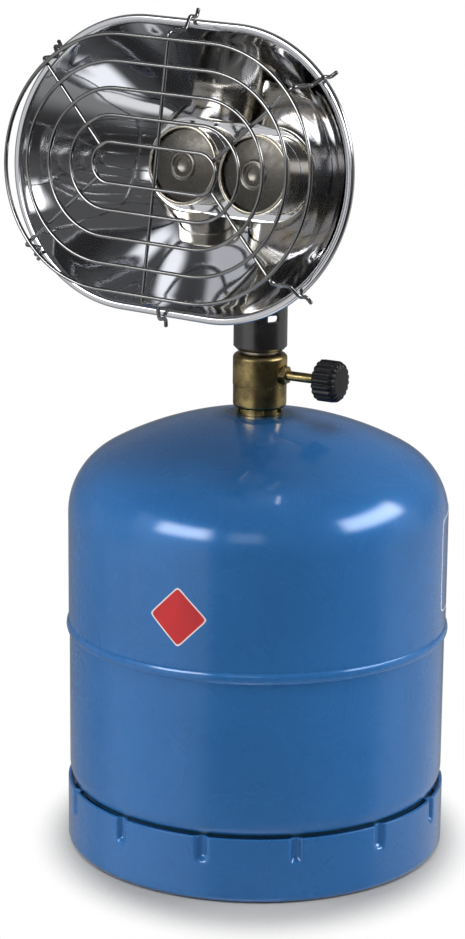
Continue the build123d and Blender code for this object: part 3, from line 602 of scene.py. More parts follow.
@dataclass(frozen=True)
class GauzeFinish(Finish):
    """Woven heat-proof wire cloth: two crossed sets of wires, tinted by heat.

    Attributes:
        pitch: distance between the wires, in metres.
        tilt: how far the cloth leans back from upright, in radians.
    """

    pitch: float = 0.0007
    tilt: float = 0.0

    def build(self, effects: Effects) -> bpy.types.Material:
        """Make the gauze's material.

        The height is the larger of two rows of round wires that run across and up the cloth.

        Args:
            effects: the shared node groups.

        Returns:
            The material.
        """
        material, g, shader, place = self.start()
        grain = g.group(effects.grain, Coordinates=place, Fine=2500.0, Coarse=130.0)
        across = (TURN / self.pitch, 0.0, 0.0)
        upward = (0.0, math.sin(self.tilt) * TURN / self.pitch, math.cos(self.tilt) * TURN / self.pitch)
        halves = [g.math("MULTIPLY", g.dot(place, way), 0.5) for way in (across, upward)]
        weave = g.math("MAXIMUM", *(g.math("ABSOLUTE", g.math("SINE", half)) for half in halves))
        body = self.drift(g, grain.outputs["Shade"])
        holes = g.remap(weave, 0.25, 0.7, 0.72, 1.0)
        g.feed(shader.inputs["Base Color"], g.mix(1.0, body, holes, "MULTIPLY"))
        g.feed(shader.inputs["Metallic"], 1.0)
        rough = g.math("MULTIPLY_ADD", grain.outputs["Shade"], 0.15, self.roughness)
        g.feed(shader.inputs["Roughness"], rough)
        g.feed(shader.inputs["Normal"], g.bump(weave, 0.00003, 0.25))
        return material


@dataclass(frozen=True)
class LabelFinish(Finish):
    """Printed film: one colour inside, the second one as a border, by the mesh's own edge value.

    Attributes:
        border: edge value where the border starts.
    """

    border: float = 0.93

    def build(self, effects: Effects) -> bpy.types.Material:
        """Make the film's material.

        Args:
            effects: the shared node groups.

        Returns:
            The material.
        """
        material, g, shader, place = self.start()
        grain = g.group(effects.grain, Coordinates=place, Fine=1500.0, Coarse=60.0)
        edge = g.add("ShaderNodeAttribute", attribute_name="edge").outputs["Fac"]
        rim = g.remap(edge, self.border - 0.008, self.border + 0.008)
        darker = tuple(c * 0.82 for c in self.colour)
        inner = g.mix(grain.outputs["Shade"], (*self.colour, 1.0), (*darker, 1.0))
        g.feed(shader.inputs["Base Color"], g.mix(rim, inner, (*self.shade, 1.0)))
        rough = g.math("MULTIPLY_ADD", grain.outputs["Shade"], 0.1, self.roughness)
        g.feed(shader.inputs["Roughness"], rough)
        g.feed(shader.inputs["Coat Weight"], 0.25)
        g.feed(shader.inputs["Coat Roughness"], 0.12)
        g.feed(shader.inputs["Normal"], g.bump(grain.outputs["Height"], 0.000008))
        return material


FINISHES: dict[Slot, Finish] = {
    Slot.PAINT: PaintFinish("enamel_blue", (0.023, 0.123, 0.332), (0.019, 0.108, 0.297), 0.27, dust=0.012),
    Slot.BRASS: MetalFinish(
        "brass_dulled", (0.50, 0.39, 0.17), (0.15, 0.11, 0.055), 0.26,
        spread=0.1, wear=0.5, stain_and_shade=1.0, coarse=120.0,
    ),
    Slot.ZINC: MetalFinish("zinc_plated", (0.56, 0.56, 0.55), (0.40, 0.40, 0.38), 0.24),
    Slot.SPRING: MetalFinish("spring_steel", (0.42, 0.41, 0.40), (0.25, 0.24, 0.23), 0.3),
    Slot.RUBBER: CoatFinish("nitrile_rubber", (0.018, 0.018, 0.018), (0.03, 0.03, 0.03), 0.65, wear=0.1),
    Slot.PLASTIC: CoatFinish(
        "knob_plastic", (0.006, 0.006, 0.007), (0.010, 0.010, 0.011), 0.3,
        depth=0.000006, dust=0.02, wear=0.1, index=1.36,
    ),
    Slot.BLACK: CoatFinish(
        "black_lacquer", (0.008, 0.0075, 0.008), (0.014, 0.012, 0.012), 0.16,
        depth=0.000004, dust=0.04, index=2.0,
    ),
    Slot.TUBE: MetalFinish("steel_tube", (0.50, 0.49, 0.47), (0.34, 0.33, 0.31), 0.26),
    Slot.BURNER: MetalFinish(
        "heated_steel", (0.50, 0.47, 0.40), (0.36, 0.33, 0.26), 0.14, spread=0.05, coarse=30.0
    ),
    Slot.GAUZE: GauzeFinish(
        "gauze_cloth", (0.100, 0.095, 0.088), (0.070, 0.065, 0.056), 0.22, tilt=HEAD_TILT
    ),
    Slot.MIRROR: MetalFinish(
        "mirror_steel", (0.79, 0.80, 0.83), (0.71, 0.72, 0.76), 0.03,
        spread=0.02, depth=0.0000004, stain_and_shade=0.4, coarse=16.0, dust=0.01, wear=0.0,
    ),
    Slot.WIRE: MetalFinish(
        "chrome_wire", (0.36, 0.36, 0.36), (0.24, 0.24, 0.24), 0.06, spread=0.04, dust=0.01
    ),
}

CUP_FINISH = MetalFinish(
    "cup_steel", (0.42, 0.42, 0.43), (0.50, 0.38, 0.17), 0.1, spread=0.05, stain_and_shade=0.55, coarse=90.0
)
NECK_FINISH = MetalFinish("neck_steel", (0.78, 0.74, 0.70), (0.60, 0.55, 0.50), 0.36, coarse=120.0)
STUD_FINISH = MetalFinish(
    "stud_steel", (0.24, 0.23, 0.21), (0.16, 0.15, 0.13), 0.24, spread=0.05, coarse=60.0
)


class FinishRack:
    """Builds each finish's material once and hands it out."""

    def __init__(self) -> None:
        """Build the shared groups and start with no material."""
        self.effects = Effects()
        self.built: dict[str, bpy.types.Material] = {}

    def material(self, finish: Finish) -> bpy.types.Material:
        """Return a finish's material, and build it if it is new.

        Args:
            finish: the finish.

        Returns:
            Its material.
        """
        if finish.name not in self.built:
            self.built[finish.name] = finish.build(self.effects)
        return self.built[finish.name]


# ------------------------------------------------------------------ surfaces
@dataclass(frozen=True)
class Axes:
    """A right-handed set of axes that carries local points to the row frame.

    Attributes:
        origin: where the local origin lies, in metres.
        across: direction of local x.
        up: direction of local y.
        forward: direction of local z.
    """

    origin: tuple[float, float, float]
    across: tuple[float, float, float] = (1.0, 0.0, 0.0)
    up: tuple[float, float, float] = (0.0, 1.0, 0.0)
    forward: tuple[float, float, float] = (0.0, 0.0, 1.0)

    def carry(self, x: np.ndarray, y: np.ndarray, z: np.ndarray) -> np.ndarray:
        """Carry local points: origin + x across + y up + z forward.

        Args:
            x: distances across.
            y: distances up.
            z: distances forward.

        Returns:
            Points with a last axis of three, in metres.
        """
        pairs = zip((x, y, z), self.directions())
        parts = [np.asarray(v, float)[..., None] * np.asarray(d) for v, d in pairs]
        return np.asarray(self.origin) + parts[0] + parts[1] + parts[2]

    def directions(self) -> tuple[tuple[float, float, float], ...]:
        """Return the three directions in order."""
        return self.across, self.up, self.forward


def head_axes(tilt: float, lean: float) -> Axes:
    """Axes at the pivot: x across the head, y up it and z forward.

    Args:
        tilt: how far the head tilts back, in radians.
        lean: how far it leans sideways, in radians.

    Returns:
        The axes.
    """
    back, level = math.sin(tilt), math.cos(tilt)
    aside, upright = math.sin(lean), math.cos(lean)
    return Axes(
        (0.0, 0.0, PIVOT_HEIGHT),
        (upright, -aside * back, -aside * level),
        (aside, upright * back, upright * level),
        (0.0, -level, back),
    )


UPRIGHT = Axes((0.0, 0.0, 0.0))
HEAD = head_axes(HEAD_TILT, HEAD_LEAN)


def grid_faces(rows: int, columns: int, wrap_rows: bool, wrap_columns: bool) -> np.ndarray:
    """Quads between the points of a grid.

    Args:
        rows: number of rows of points.
        columns: number of points in a row.
        wrap_rows: whether the last row joins the first.
        wrap_columns: whether the last column joins the first.

    Returns:
        Point numbers of the quads, one quad in a row.
    """
    down = np.arange(rows if wrap_rows else rows - 1)
    along = np.arange(columns if wrap_columns else columns - 1)
    i, j = np.meshgrid(down, along, indexing="ij")
    i_next, j_next = (i + 1) % rows, (j + 1) % columns
    quads = [i * columns + j, i * columns + j_next, i_next * columns + j_next, i_next * columns + j]
    return np.stack([q.ravel() for q in quads], axis=1)


def filleted(points: object, radius: object, steps: int = 8) -> np.ndarray:
    """Round the inner corners of an open line.

    Each corner becomes an arc that touches both of its sides: it starts radius * tan(half the turn)
    before the corner and swings by the turn, in the plane of the two sides.

    Args:
        points: corner points, in two or three dimensions.
        radius: one radius for all inner corners, or one for each.
        steps: points on each arc, less one.

    Returns:
        Points of the rounded line.
    """
    line = np.asarray(points, float)
    sides = np.diff(line, axis=0)
    sides /= np.linalg.norm(sides, axis=1)[:, None]
    before, after = sides[:-1], sides[1:]
    cosine = np.clip((before * after).sum(1), -1.0, 1.0)
    turn = np.arccos(cosine)
    radii = np.broadcast_to(np.asarray(radius, float), turn.shape)
    sideways = after - cosine[:, None] * before
    sideways /= np.maximum(np.sin(turn), 1e-9)[:, None]
    start = line[1:-1] - (radii * np.tan(turn / 2.0))[:, None] * before
    angle = turn[:, None] * np.linspace(0.0, 1.0, steps + 1)
    swing = radii[:, None, None] * (
        np.sin(angle)[..., None] * before[:, None] + (1.0 - np.cos(angle))[..., None] * sideways[:, None]
    )
    arcs = (start[:, None] + swing).reshape(-1, line.shape[1])
    return np.vstack([line[:1], arcs, line[-1:]])


def arc(centre: tuple[float, float], radius: float, start: float, end: float, steps: int) -> np.ndarray:
    """Points on a circle's arc.

    Args:
        centre: centre of the circle.
        radius: its radius.
        start: first angle, in degrees.
        end: last angle, in degrees.
        steps: number of points.

    Returns:
        The points, one in a row.
    """
    angle = np.radians(np.linspace(start, end, steps))
    return np.stack([centre[0] + radius * np.cos(angle), centre[1] + radius * np.sin(angle)], axis=1)


def once_round(steps: int) -> np.ndarray:
    """Return evenly spaced angles that go once round, in radians."""
    return np.linspace(0.0, TURN, steps, endpoint=False)


def spaced(line: np.ndarray, pitch: float) -> np.ndarray:
    """Add points to a line so that no two are further apart than the pitch.

    Args:
        line: points of the line, one in a row.
        pitch: largest distance between two points.

    Returns:
        Points of the same line.
    """
    lengths = np.linalg.norm(np.diff(line, axis=0), axis=1)
    keep = np.concatenate([[True], lengths > 1e-9])
    line = line[keep]
    reach = np.concatenate([[0.0], np.cumsum(np.linalg.norm(np.diff(line, axis=0), axis=1))])
    extra = np.arange(0.0, reach[-1], pitch)
    gap = np.abs(extra[:, None] - reach[None, :]).min(axis=1)
    at = np.sort(np.concatenate([reach, extra[gap > pitch * 0.35]]))
    return np.stack([np.interp(at, reach, line[:, k]) for k in range(line.shape[1])], axis=1)


@dataclass
class Surface:
    """Points and quads of a piece before it becomes a mesh.

    Attributes:
        points: points in metres, one in a row.
        faces: point numbers of the quads.
        edge: a value for each point, or None.
    """

    points: np.ndarray
    faces: np.ndarray
    edge: np.ndarray | None = None

    def joined(self, other: "Surface") -> "Surface":
        """Return this surface and another one as one."""
        faces = np.vstack([self.faces, other.faces + len(self.points)])
        return Surface(np.vstack([self.points, other.points]), faces)


def turned(
    radius: np.ndarray, height: np.ndarray, axes: Axes, turns: np.ndarray, closed: bool
) -> Surface:
    """Turn rows of points about the axes' forward direction.

    A radius r and a height h become (r cos t, r sin t, h) at each turn t, and both may differ from
    turn to turn.

    Args:
        radius: radius of each row, or of each point of each row, in metres.
        height: height, in the same way.
        axes: the axes that the rows turn in.
        turns: angles, in radians, that go once round.
        closed: whether the last row joins the first.

    Returns:
        The surface.
    """
    rows = axes.carry(radius * np.cos(turns), radius * np.sin(turns), height + 0.0 * turns)
    return Surface(rows.reshape(-1, 3), grid_faces(len(radius), len(turns), closed, True))


def lathe(profile: np.ndarray, axes: Axes, turns: np.ndarray, closed: bool) -> Surface:
    """Turn a profile of radii and heights, in metres, that is the same at each turn."""
    return turned(profile[:, :1], profile[:, 1:2], axes, turns, closed)


@dataclass(frozen=True)
class Oblong:
    """A path with two round ends, seen along the head's forward direction.

    Attributes:
        offset: from the middle to each end's centre, in metres.
        rise: height of the middle above the pivot, in metres.
    """

    offset: float = HEAD_OFFSET * MM
    rise: float = HEAD_RISE * MM

    def stations(self, end_steps: int, side_steps: int) -> tuple[np.ndarray, np.ndarray]:
        """Centres and outward directions round the path.

        Args:
            end_steps: steps on each round end.
            side_steps: steps on each straight side.

        Returns:
            The distance of each station's centre across, and its direction as an angle.
        """
        quarter = 0.5 * math.pi
        swing = np.linspace(-quarter, quarter, end_steps, endpoint=False)
        slide = np.linspace(1.0, -1.0, side_steps, endpoint=False) * self.offset
        centres = [np.full(end_steps, self.offset), slide, np.full(end_steps, -self.offset), -slide]
        over, under = np.full(side_steps, quarter), np.full(side_steps, 3.0 * quarter)
        angles = [swing, over, swing + math.pi, under]
        return np.concatenate(centres), np.concatenate(angles)

    def carry(self, profile: np.ndarray, end_steps: int, side_steps: int, sway: float = 0.0) -> Surface:
        """Carry a closed profile round the path.

        A profile point (radius, forward) becomes centre + radius * direction at each station. The sway
        adds a slow wave to the forward distance, as hand-polished sheet has; it dies out towards the
        floor and the lip.

        Args:
            profile: radius and forward distance of each point, in metres.
            end_steps: steps on each round end.
            side_steps: steps on each straight side.
            sway: height of the wave, in metres.

        Returns:
            The surface.
        """
        centre, angle = self.stations(end_steps, side_steps)
        radius, forward = profile[:, :1], profile[:, 1:2]
        wave = np.sin(3.0 * angle + 90.0 * radius) * np.sin(150.0 * radius + 2.0 * angle)
        floor, lip = np.clip(radius / 0.024 - 0.6, 0.0, 1.0), np.clip((0.0685 - radius) / 0.01, 0.0, 1.0)
        across, up = centre + radius * np.cos(angle), self.rise + radius * np.sin(angle)
        points = HEAD.carry(across, up, forward + sway * wave * floor * lip + 0.0 * angle)
        return Surface(points.reshape(-1, 3), grid_faces(len(profile), len(angle), True, True))


def tube(path: np.ndarray, normal: np.ndarray, radius: float, sides: int = 16) -> Surface:
    """A round wire with domed ends along a path that lies in one plane.

    Each ring stands square to the path's own direction; its two axes are the plane's normal and the
    normal crossed with that direction. The last rings shrink as a half ball does.

    Args:
        path: points along the wire, in metres.
        normal: direction square to the path's plane.
        radius: radius of the wire.
        sides: points in a ring.

    Returns:
        The surface.
    """
    along = np.gradient(path, axis=0)
    along /= np.linalg.norm(along, axis=1)[:, None]
    dome = np.radians([90.0, 75.0, 55.0, 35.0, 15.0])
    flatness = 0.6
    shrink = np.maximum(np.cos(dome), 0.0)
    scale = np.concatenate([shrink, np.ones(len(path)), shrink[::-1]])
    ends = (np.sin(dome)[:, None] - 1.0) * radius * flatness
    inner = path.copy()
    inner[0] += flatness * radius * along[0]
    inner[-1] -= flatness * radius * along[-1]
    centres = np.vstack([path[0] - ends * along[0], inner, path[-1] + ends[::-1] * along[-1]])
    first, last = np.repeat(along[:1], len(dome), 0), np.repeat(along[-1:], len(dome), 0)
    facing = np.vstack([first, along, last])
    side = np.cross(facing, normal)
    side /= np.linalg.norm(side, axis=1)[:, None]
    turn = once_round(sides)
    ring = np.cos(turn)[None, :, None] * side[:, None] + np.sin(turn)[None, :, None] * np.asarray(normal)
    points = centres[:, None] + radius * scale[:, None, None] * ring
    return Surface(points.reshape(-1, 3), grid_faces(len(centres), sides, False, True))


# ------------------------------------------------------------------ pieces
def placed(name: str, data: bpy.types.ID) -> bpy.types.Object:
    """Make an object of the data and link it to the scene."""
    thing = bpy.data.objects.new(name, data)
    bpy.context.scene.collection.objects.link(thing)
    return thing


@dataclass
class Assembly:
    """What every sub-assembly has: the finishes, and ways to add pieces and dress CAD nodes.

    Attributes:
        rack: the finishes.
    """

    rack: FinishRack

    def piece(
        self,
        name: str,
        surface: Surface,
        slot: Slot,
        body: Body,
        replaces: tuple[str, ...] = (),
        finish: Finish | None = None,
        sharp: float = 35.0,
    ) -> bpy.types.Object:
        """Make a mesh piece, close its seams, turn its faces outwards and put it on its body.

        Args:
            name: name of the piece.
            surface: its points and quads.
            slot: its material slot.
            body: the body that it rides on.
            replaces: CAD nodes that it stands for.
            finish: its finish, if that isn't the slot's own.
            sharp: angle above which an edge stays sharp, in degrees.

        Returns:
            The piece.
        """
        mesh = bpy.data.meshes.new(name)
        points, faces = surface.points, surface.faces.astype(np.int32)
        mesh.vertices.add(len(points))
        mesh.vertices.foreach_set("co", points.astype(np.float32).ravel())
        mesh.loops.add(faces.size)
        mesh.loops.foreach_set("vertex_index", faces.ravel())
        mesh.polygons.add(len(faces))
        mesh.polygons.foreach_set("loop_start", np.arange(0, faces.size, 4, dtype=np.int32))
        mesh.update(calc_edges=True)
        if surface.edge is not None:
            edge = mesh.attributes.new("edge", "FLOAT", "POINT")
            edge.data.foreach_set("value", surface.edge.astype(np.float32))
        work = bmesh.new()
        work.from_mesh(mesh)
        bmesh.ops.remove_doubles(work, verts=work.verts, dist=2e-6)
        bmesh.ops.recalc_face_normals(work, faces=work.faces)
        work.to_mesh(mesh)
        work.free()
        mesh.shade_smooth()
        mesh.set_sharp_from_angle(angle=math.radians(sharp))
        mesh.materials.append(self.rack.material(finish or FINISHES[slot]))
        thing = placed(name, mesh)
        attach(thing, body.value)
        if replaces:
            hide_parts(*replaces)
        log.info("%s: %d faces on %s", name, len(mesh.polygons), body.value)
        return thing

    def dress(self, slot: Slot, *nodes: str, finish: Finish | None = None) -> None:
        """Give CAD nodes their finish.

        Args:
            slot: the material slot of the nodes.
            nodes: names of the nodes.
            finish: their finish, if that isn't the slot's own.
        """
        material = self.rack.material(finish or FINISHES[slot])
        for name in nodes:
            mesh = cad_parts[name].data
            mesh.materials.clear()
            mesh.materials.append(material)
            log.info("%s: CAD node in %s", name, material.name)


@dataclass
class GasCylinder(Assembly):
    """The welded steel cylinder: two shells, the seam between them and the foot ring.

    Sizes are in millimetres.

    Attributes:
        radius: outside of the upper shell.
        wall: thickness of the shells.
        lower_radius: outside of the lower shell.
        seam: height of the seam.
        dome_start: height where the wall ends.
        knuckle: radius of the dome's knuckle.
        crown: radius of the dome's crown.
        bung_hole: radius of the hole for the bung.
        base_start: height where the lower shell turns in.
        base_knuckle: radius of the base's knuckle.
        base_crown: radius of the base's crown.
        foot_radius: outside of the foot ring.
        foot_height: height of the foot ring.
        foot_wall: thickness of the foot ring.
        dimples: number of pressed dimples.
        first_dimple: angle of the first one from +X, in degrees.
        dimple_width: half width of a dimple's bell curve.
        dimple_depth: depth of a dimple.
        dimple_length: how far a dimple reaches down from the upper edge.
        dimple_end: length of its rounded end.
        bung_top: height of the bung's upper edge.
    """

    radius: float = SHELL_RADIUS
    wall: float = 2.0
    lower_radius: float = 101.0
    seam: float = 121.0
    dome_start: float = 182.6
    knuckle: float = 38.15
    crown: float = 170.6
    bung_hole: float = 18.05
    base_start: float = 45.0
    base_knuckle: float = 22.0
    base_crown: float = 300.0
    foot_radius: float = 102.0
    foot_height: float = 35.0
    foot_wall: float = 2.0
    dimples: int = 13
    first_dimple: float = 8.1
    dimple_width: float = 2.6
    dimple_depth: float = 2.6
    dimple_length: float = 13.4
    dimple_end: float = 3.0
    bung_top: float = 236.3

    @staticmethod
    def crown_drop(radius: float, knuckle: float, crown: float) -> float:
        """Return how far the crown arc's centre lies behind the wall's end."""
        return math.sqrt((crown - knuckle) ** 2 - (radius - knuckle) ** 2)

    @classmethod
    def pressed_end(
        cls,
        radius: float,
        knuckle: float,
        crown: float,
        hole: float,
        start: float,
        direction: float,
    ) -> np.ndarray:
        """Profile of a pressed end: a knuckle arc that runs tangent into a crown arc on the axis.

        Args:
            radius: radius of the wall.
            knuckle: radius of the knuckle.
            crown: radius of the crown.
            hole: radius of the hole in the middle.
            start: height where the wall ends.
            direction: 1 for an end that bulges up, -1 for one that bulges down.

        Returns:
            Radius and height of each point, from the wall to the hole.
        """
        drop = cls.crown_drop(radius, knuckle, crown)
        meet = math.degrees(math.asin((radius - knuckle) / (crown - knuckle)))
        side = arc((radius - knuckle, 0.0), knuckle, 0.0, 90.0 - meet, 40)
        top = arc((0.0, -drop), crown, 90.0 - meet, 90.0 - math.degrees(math.asin(hole / crown)), 60)
        line = np.vstack([side, top[1:]])
        return np.stack([line[:, 0], start + direction * line[:, 1]], axis=1)

    def upper_shell(self) -> Surface:
        """Upper shell: its outside profile and, turned back, its inside one."""
        outside, inside = (
            self.pressed_end(
                self.radius - t, self.knuckle - t, self.crown - t, self.bung_hole, self.dome_start, 1.0
            )
            for t in (0.0, self.wall)
        )
        foot = np.array([[self.radius - self.wall, self.seam], [self.radius, self.seam]])
        profile = spaced(np.vstack([foot, outside, inside[::-1], foot[:1]]), 4.0)[:-1]
        return lathe(profile * MM, UPRIGHT, once_round(384), True)

    def lower_shell(self) -> Surface:
        """Lower shell with the lip that backs the seam, closed at the middle of its base."""
        outside, inside = (
            self.pressed_end(
                self.lower_radius - t, self.base_knuckle - t, self.base_crown - t, 0.0, self.base_start, -1.0
            )
            for t in (0.0, self.wall)
        )
        inner = self.lower_radius - self.wall
        lip = self.radius - self.wall - 0.05
        top, bottom = self.seam + 8.0, self.seam - 8.0
        joint = np.array(
            [
                [self.lower_radius, self.seam],
                [lip, self.seam],
                [lip, top],
                [lip - self.wall, top],
                [lip - self.wall, bottom],
                [inner, bottom],
            ]
        )
        profile = spaced(np.vstack([outside[::-1], joint, inside]), 5.0)
        return lathe(profile * MM, UPRIGHT, once_round(384), False)

    def seam_bead(self) -> Surface:
        """Painted weld bead: a low crown over both shells whose edge wanders a little."""
        turns = once_round(720)
        crown = [[101.05, 118.0], [101.75, 118.5], [102.35, 119.4], [102.68, 120.9]]
        crown += [[102.5, 122.4], [102.1, 123.4], [101.55, 124.0]]
        back = [[101.5, 121.0], [101.05, 121.0]]
        profile = spaced(np.vstack([filleted(crown, 1.2, 4), back]), 0.8)
        wander = 0.10 * np.sin(9.0 * turns) + 0.07 * np.sin(23.0 * turns + 1.0)
        weight = np.clip((profile[:, :1] - 101.4) / 0.8, 0.0, 1.0)
        height = (profile[:, 1:2] + weight * wander) * MM
        return turned(profile[:, :1] * MM, height, UPRIGHT, turns, True)

    def foot_ring(self) -> Surface:
        """Foot ring with a rounded lower edge that turns in, and dimples pressed into its upper edge.

        A dimple's depth falls off across its width as a bell curve, and down from the upper edge it
        keeps its depth and then runs out in a rounded end.
        """
        r, h, w = self.foot_radius, self.foot_height, self.foot_wall
        lip = r - 7.0
        corners = np.array(
            [[r - 0.9, h], [r, h - 0.35], [r, 0.0], [lip, 0.0], [lip, w], [r - w, w], [r - w, h - 0.35]]
        )
        outline = filleted(np.vstack([corners, corners[:1]]), [0.3, 3.4, 0.6, 0.6, 1.5, 0.3], 8)[:-1]
        profile = spaced(np.vstack([outline, outline[:1]]), 1.2)[:-1]
        around = once_round(360)
        place = math.radians(self.first_dimple) + np.arange(self.dimples) * TURN / self.dimples
        near = (place[:, None] + np.linspace(-6.5, 6.5, 40) / r).ravel() % TURN
        turns = np.sort(np.concatenate([around, near]))
        turns = turns[np.concatenate([[True], np.diff(turns) > 1e-5])]
        gap = np.abs((turns[:, None] - place + math.pi) % TURN - math.pi).min(axis=1) * r
        across = np.exp(-((gap / self.dimple_width) ** 3))
        down = h - profile[:, 1:2]
        reach = np.clip((self.dimple_length - down) / self.dimple_end, 0.0, 1.0)
        depth = self.dimple_depth * across * np.sin(0.5 * math.pi * reach)
        return turned((profile[:, :1] - depth) * MM, profile[:, 1:2] * MM, UPRIGHT, turns, True)

    def bung_weld(self) -> Surface:
        """Painted weld that runs from the bung's top down to the dome in a soft slope."""
        drop = self.crown_drop(self.radius, self.knuckle, self.crown)
        inner, out, top = self.bung_hole - 1.3, self.bung_hole + 2.4, self.bung_top
        dome = self.dome_start - drop + math.sqrt(self.crown**2 - out**2)
        slope = [(inner, top + 0.035), (self.bung_hole, top), (out - 1.0, dome + 0.24), (out, dome - 0.03)]
        corners = np.array([(inner, top - 0.2), *slope, (out, dome - 0.5)])
        rounded = filleted(corners, [0.05, 2.0, 2.0, 0.05], 5)
        profile = spaced(np.vstack([rounded, corners[:1]]), 0.6)[:-1]
        return lathe(profile * MM, UPRIGHT, once_round(160), True)

    def build(self) -> None:
        """Add the shells, the seam, the foot ring and the bung's weld."""
        self.piece("shell_upper", self.upper_shell(), Slot.PAINT, Body.CYLINDER, ("upper_shell",))
        self.piece("shell_lower", self.lower_shell(), Slot.PAINT, Body.CYLINDER, ("lower_shell",))
        self.piece("seam_bead", self.seam_bead(), Slot.PAINT, Body.CYLINDER, ("seam_weld",), sharp=60.0)
        self.piece("foot_hoop", self.foot_ring(), Slot.PAINT, Body.CYLINDER, ("foot_ring",), sharp=50.0)
        self.piece("bung_weld", self.bung_weld(), Slot.PAINT, Body.CYLINDER, sharp=60.0)
        self.dress(Slot.PAINT, "valve_bung")


@dataclass
class CylinderLabels(Assembly):
    """Blank printed films on the cylinder's wall: a red lozenge and a pale outline.

    Attributes:
        radius: outside of the shell, in millimetres.
        thickness: thickness of a film, in millimetres.
    """

    radius: float = SHELL_RADIUS
    thickness: float = 0.09

    def film(
        self,
        azimuth: float,
        height: float,
        half: tuple[float, float],
        turn: float,
        power: float,
        inner: float,
    ) -> Surface:
        """A film bent round the wall, as rings between an inner and an outer outline.

        The outline is |x/a|^p + |y/b|^p = 1, turned in its own plane, and the film lies where x runs
        round the wall and y up it.

        Args:
            azimuth: middle of the film from +X, in degrees.
            height: middle of the film, in millimetres.
            half: half of its width and height, in millimetres.
            turn: turn of the outline, in degrees.
            power: the outline's power; larger is squarer.
            inner: share of the outline where the film starts, 0 for a whole film.

        Returns:
            The surface, with the share of the outline as its edge value.
        """
        rings, points = 24, 256
        around = once_round(points)
        size = (np.abs(np.cos(around)) ** power + np.abs(np.sin(around)) ** power) ** (-1.0 / power)
        x, y = half[0] * size * np.cos(around), half[1] * size * np.sin(around)
        tilt = math.radians(turn)
        x, y = x * math.cos(tilt) - y * math.sin(tilt), x * math.sin(tilt) + y * math.cos(tilt)
        share = np.linspace(inner, 1.0, rings)
        share = np.concatenate([share, share[::-1]])[:, None]
        level = np.repeat([self.thickness, -self.thickness], rings)[:, None]
        angle = math.radians(azimuth) + share * x / self.radius
        radius = (self.radius + level) * MM
        place = UPRIGHT.carry(radius * np.cos(angle), radius * np.sin(angle), (height + share * y) * MM)
        edge = np.broadcast_to(share, (2 * rings, points)).ravel()
        return Surface(place.reshape(-1, 3), grid_faces(2 * rings, points, inner > 0.0, True), edge)

    def build(self) -> None:
        """Add the lozenge and the outline."""
        red = LabelFinish("film_red", (0.43, 0.005, 0.008), (0.58, 0.54, 0.55), 0.35, border=0.94)
        pale = LabelFinish("film_pale", (0.55, 0.60, 0.66), (0.55, 0.60, 0.66), 0.35)
        lozenge = self.film(-82.7, 151.0, (11.4, 11.4), 45.0, 14.0, 0.0)
        self.piece("lozenge_label", lozenge, Slot.PAINT, Body.CYLINDER, finish=red, sharp=60.0)
        outline = self.film(53.5, 161.0, (72.0, 26.0), 0.0, 16.0, 0.985)
        self.piece("panel_outline", outline, Slot.PAINT, Body.CYLINDER, finish=pale, sharp=60.0)


@dataclass
class ValveTrain(Assembly):
    """The cylinder's valve and the heater's brass valve up to the neck, dressed CAD nodes."""

    def build(self) -> None:
        """Dress the valve's nodes."""
        self.dress(Slot.BRASS, "cylinder_valve", "inlet_nut", "valve_body", "gland_nut", "inlet_pin")
        self.dress(Slot.BRASS, "gas_jet", "valve_spindle")
        self.dress(Slot.ZINC, "retaining_disc", "fork_nut")
        self.dress(Slot.ZINC, "neck", finish=NECK_FINISH)
        self.dress(Slot.SPRING, "check_ball", "check_spring")
        self.dress(Slot.RUBBER, "inlet_seal", "gland_seal")


@dataclass
class ControlKnob(Assembly):
    """The fluted black knob.

    Sizes are in millimetres.

    Attributes:
        axis_height: height of the spindle.
        start: distance of its back face from the cylinder's axis.
        length: its length.
        radius: its radius over the flutes' crests.
        flutes: number of flutes.
        flute_depth: depth of a flute.
        flute_start: radius where the flutes begin.
        flute_fade: distance over which they come to their full depth.
    """

    axis_height: float = 258.2248576
    start: float = 36.4
    length: float = 13.2
    radius: float = 11.0
    flutes: int = 18
    flute_depth: float = 1.0
    flute_start: float = 6.4
    flute_fade: float = 3.4

    def surface(self) -> Surface:
        """Turned knob whose side is cut by rounded flutes that fade out on both faces."""
        r, end = self.radius, self.start + self.length
        corners = [(0.0, self.start), (r - 0.8, self.start), (r, self.start + 0.8), (r, end - 3.2)]
        corners += [(r - 1.2, end - 1.1), (r - 3.8, end - 0.25), (0.0, end)]
        profile = spaced(filleted(corners, [0.3, 0.6, 3.4, 2.6, 6.0], 8), 0.45)
        turns = once_round(self.flutes * 24)
        groove = (0.5 + 0.5 * np.cos(self.flutes * turns)) ** 1.7
        side = np.clip((profile[:, :1] - self.flute_start) / self.flute_fade, 0.0, 1.0) ** 0.8
        radius = (profile[:, :1] - self.flute_depth * side * groove) * MM
        axes = Axes((0.0, 0.0, self.axis_height * MM), (0.0, 1.0, 0.0), UP, (1.0, 0.0, 0.0))
        return turned(radius, profile[:, 1:2] * MM, axes, turns, False)

    def build(self) -> None:
        """Add the knob."""
        self.piece("knob_fluted", self.surface(), Slot.PLASTIC, Body.CONTROL, ("control_knob",), sharp=50.0)


@dataclass
class SwivelFork(Assembly):
    """The black fork and the pivot that the head turns on, dressed CAD nodes."""

    def build(self) -> None:
        """Dress the fork's and the pivot's nodes."""
        self.dress(Slot.BLACK, "swivel_fork", "pivot_barrel")
        self.dress(Slot.ZINC, "pivot_bolt", "pivot_washers", "pivot_nut")


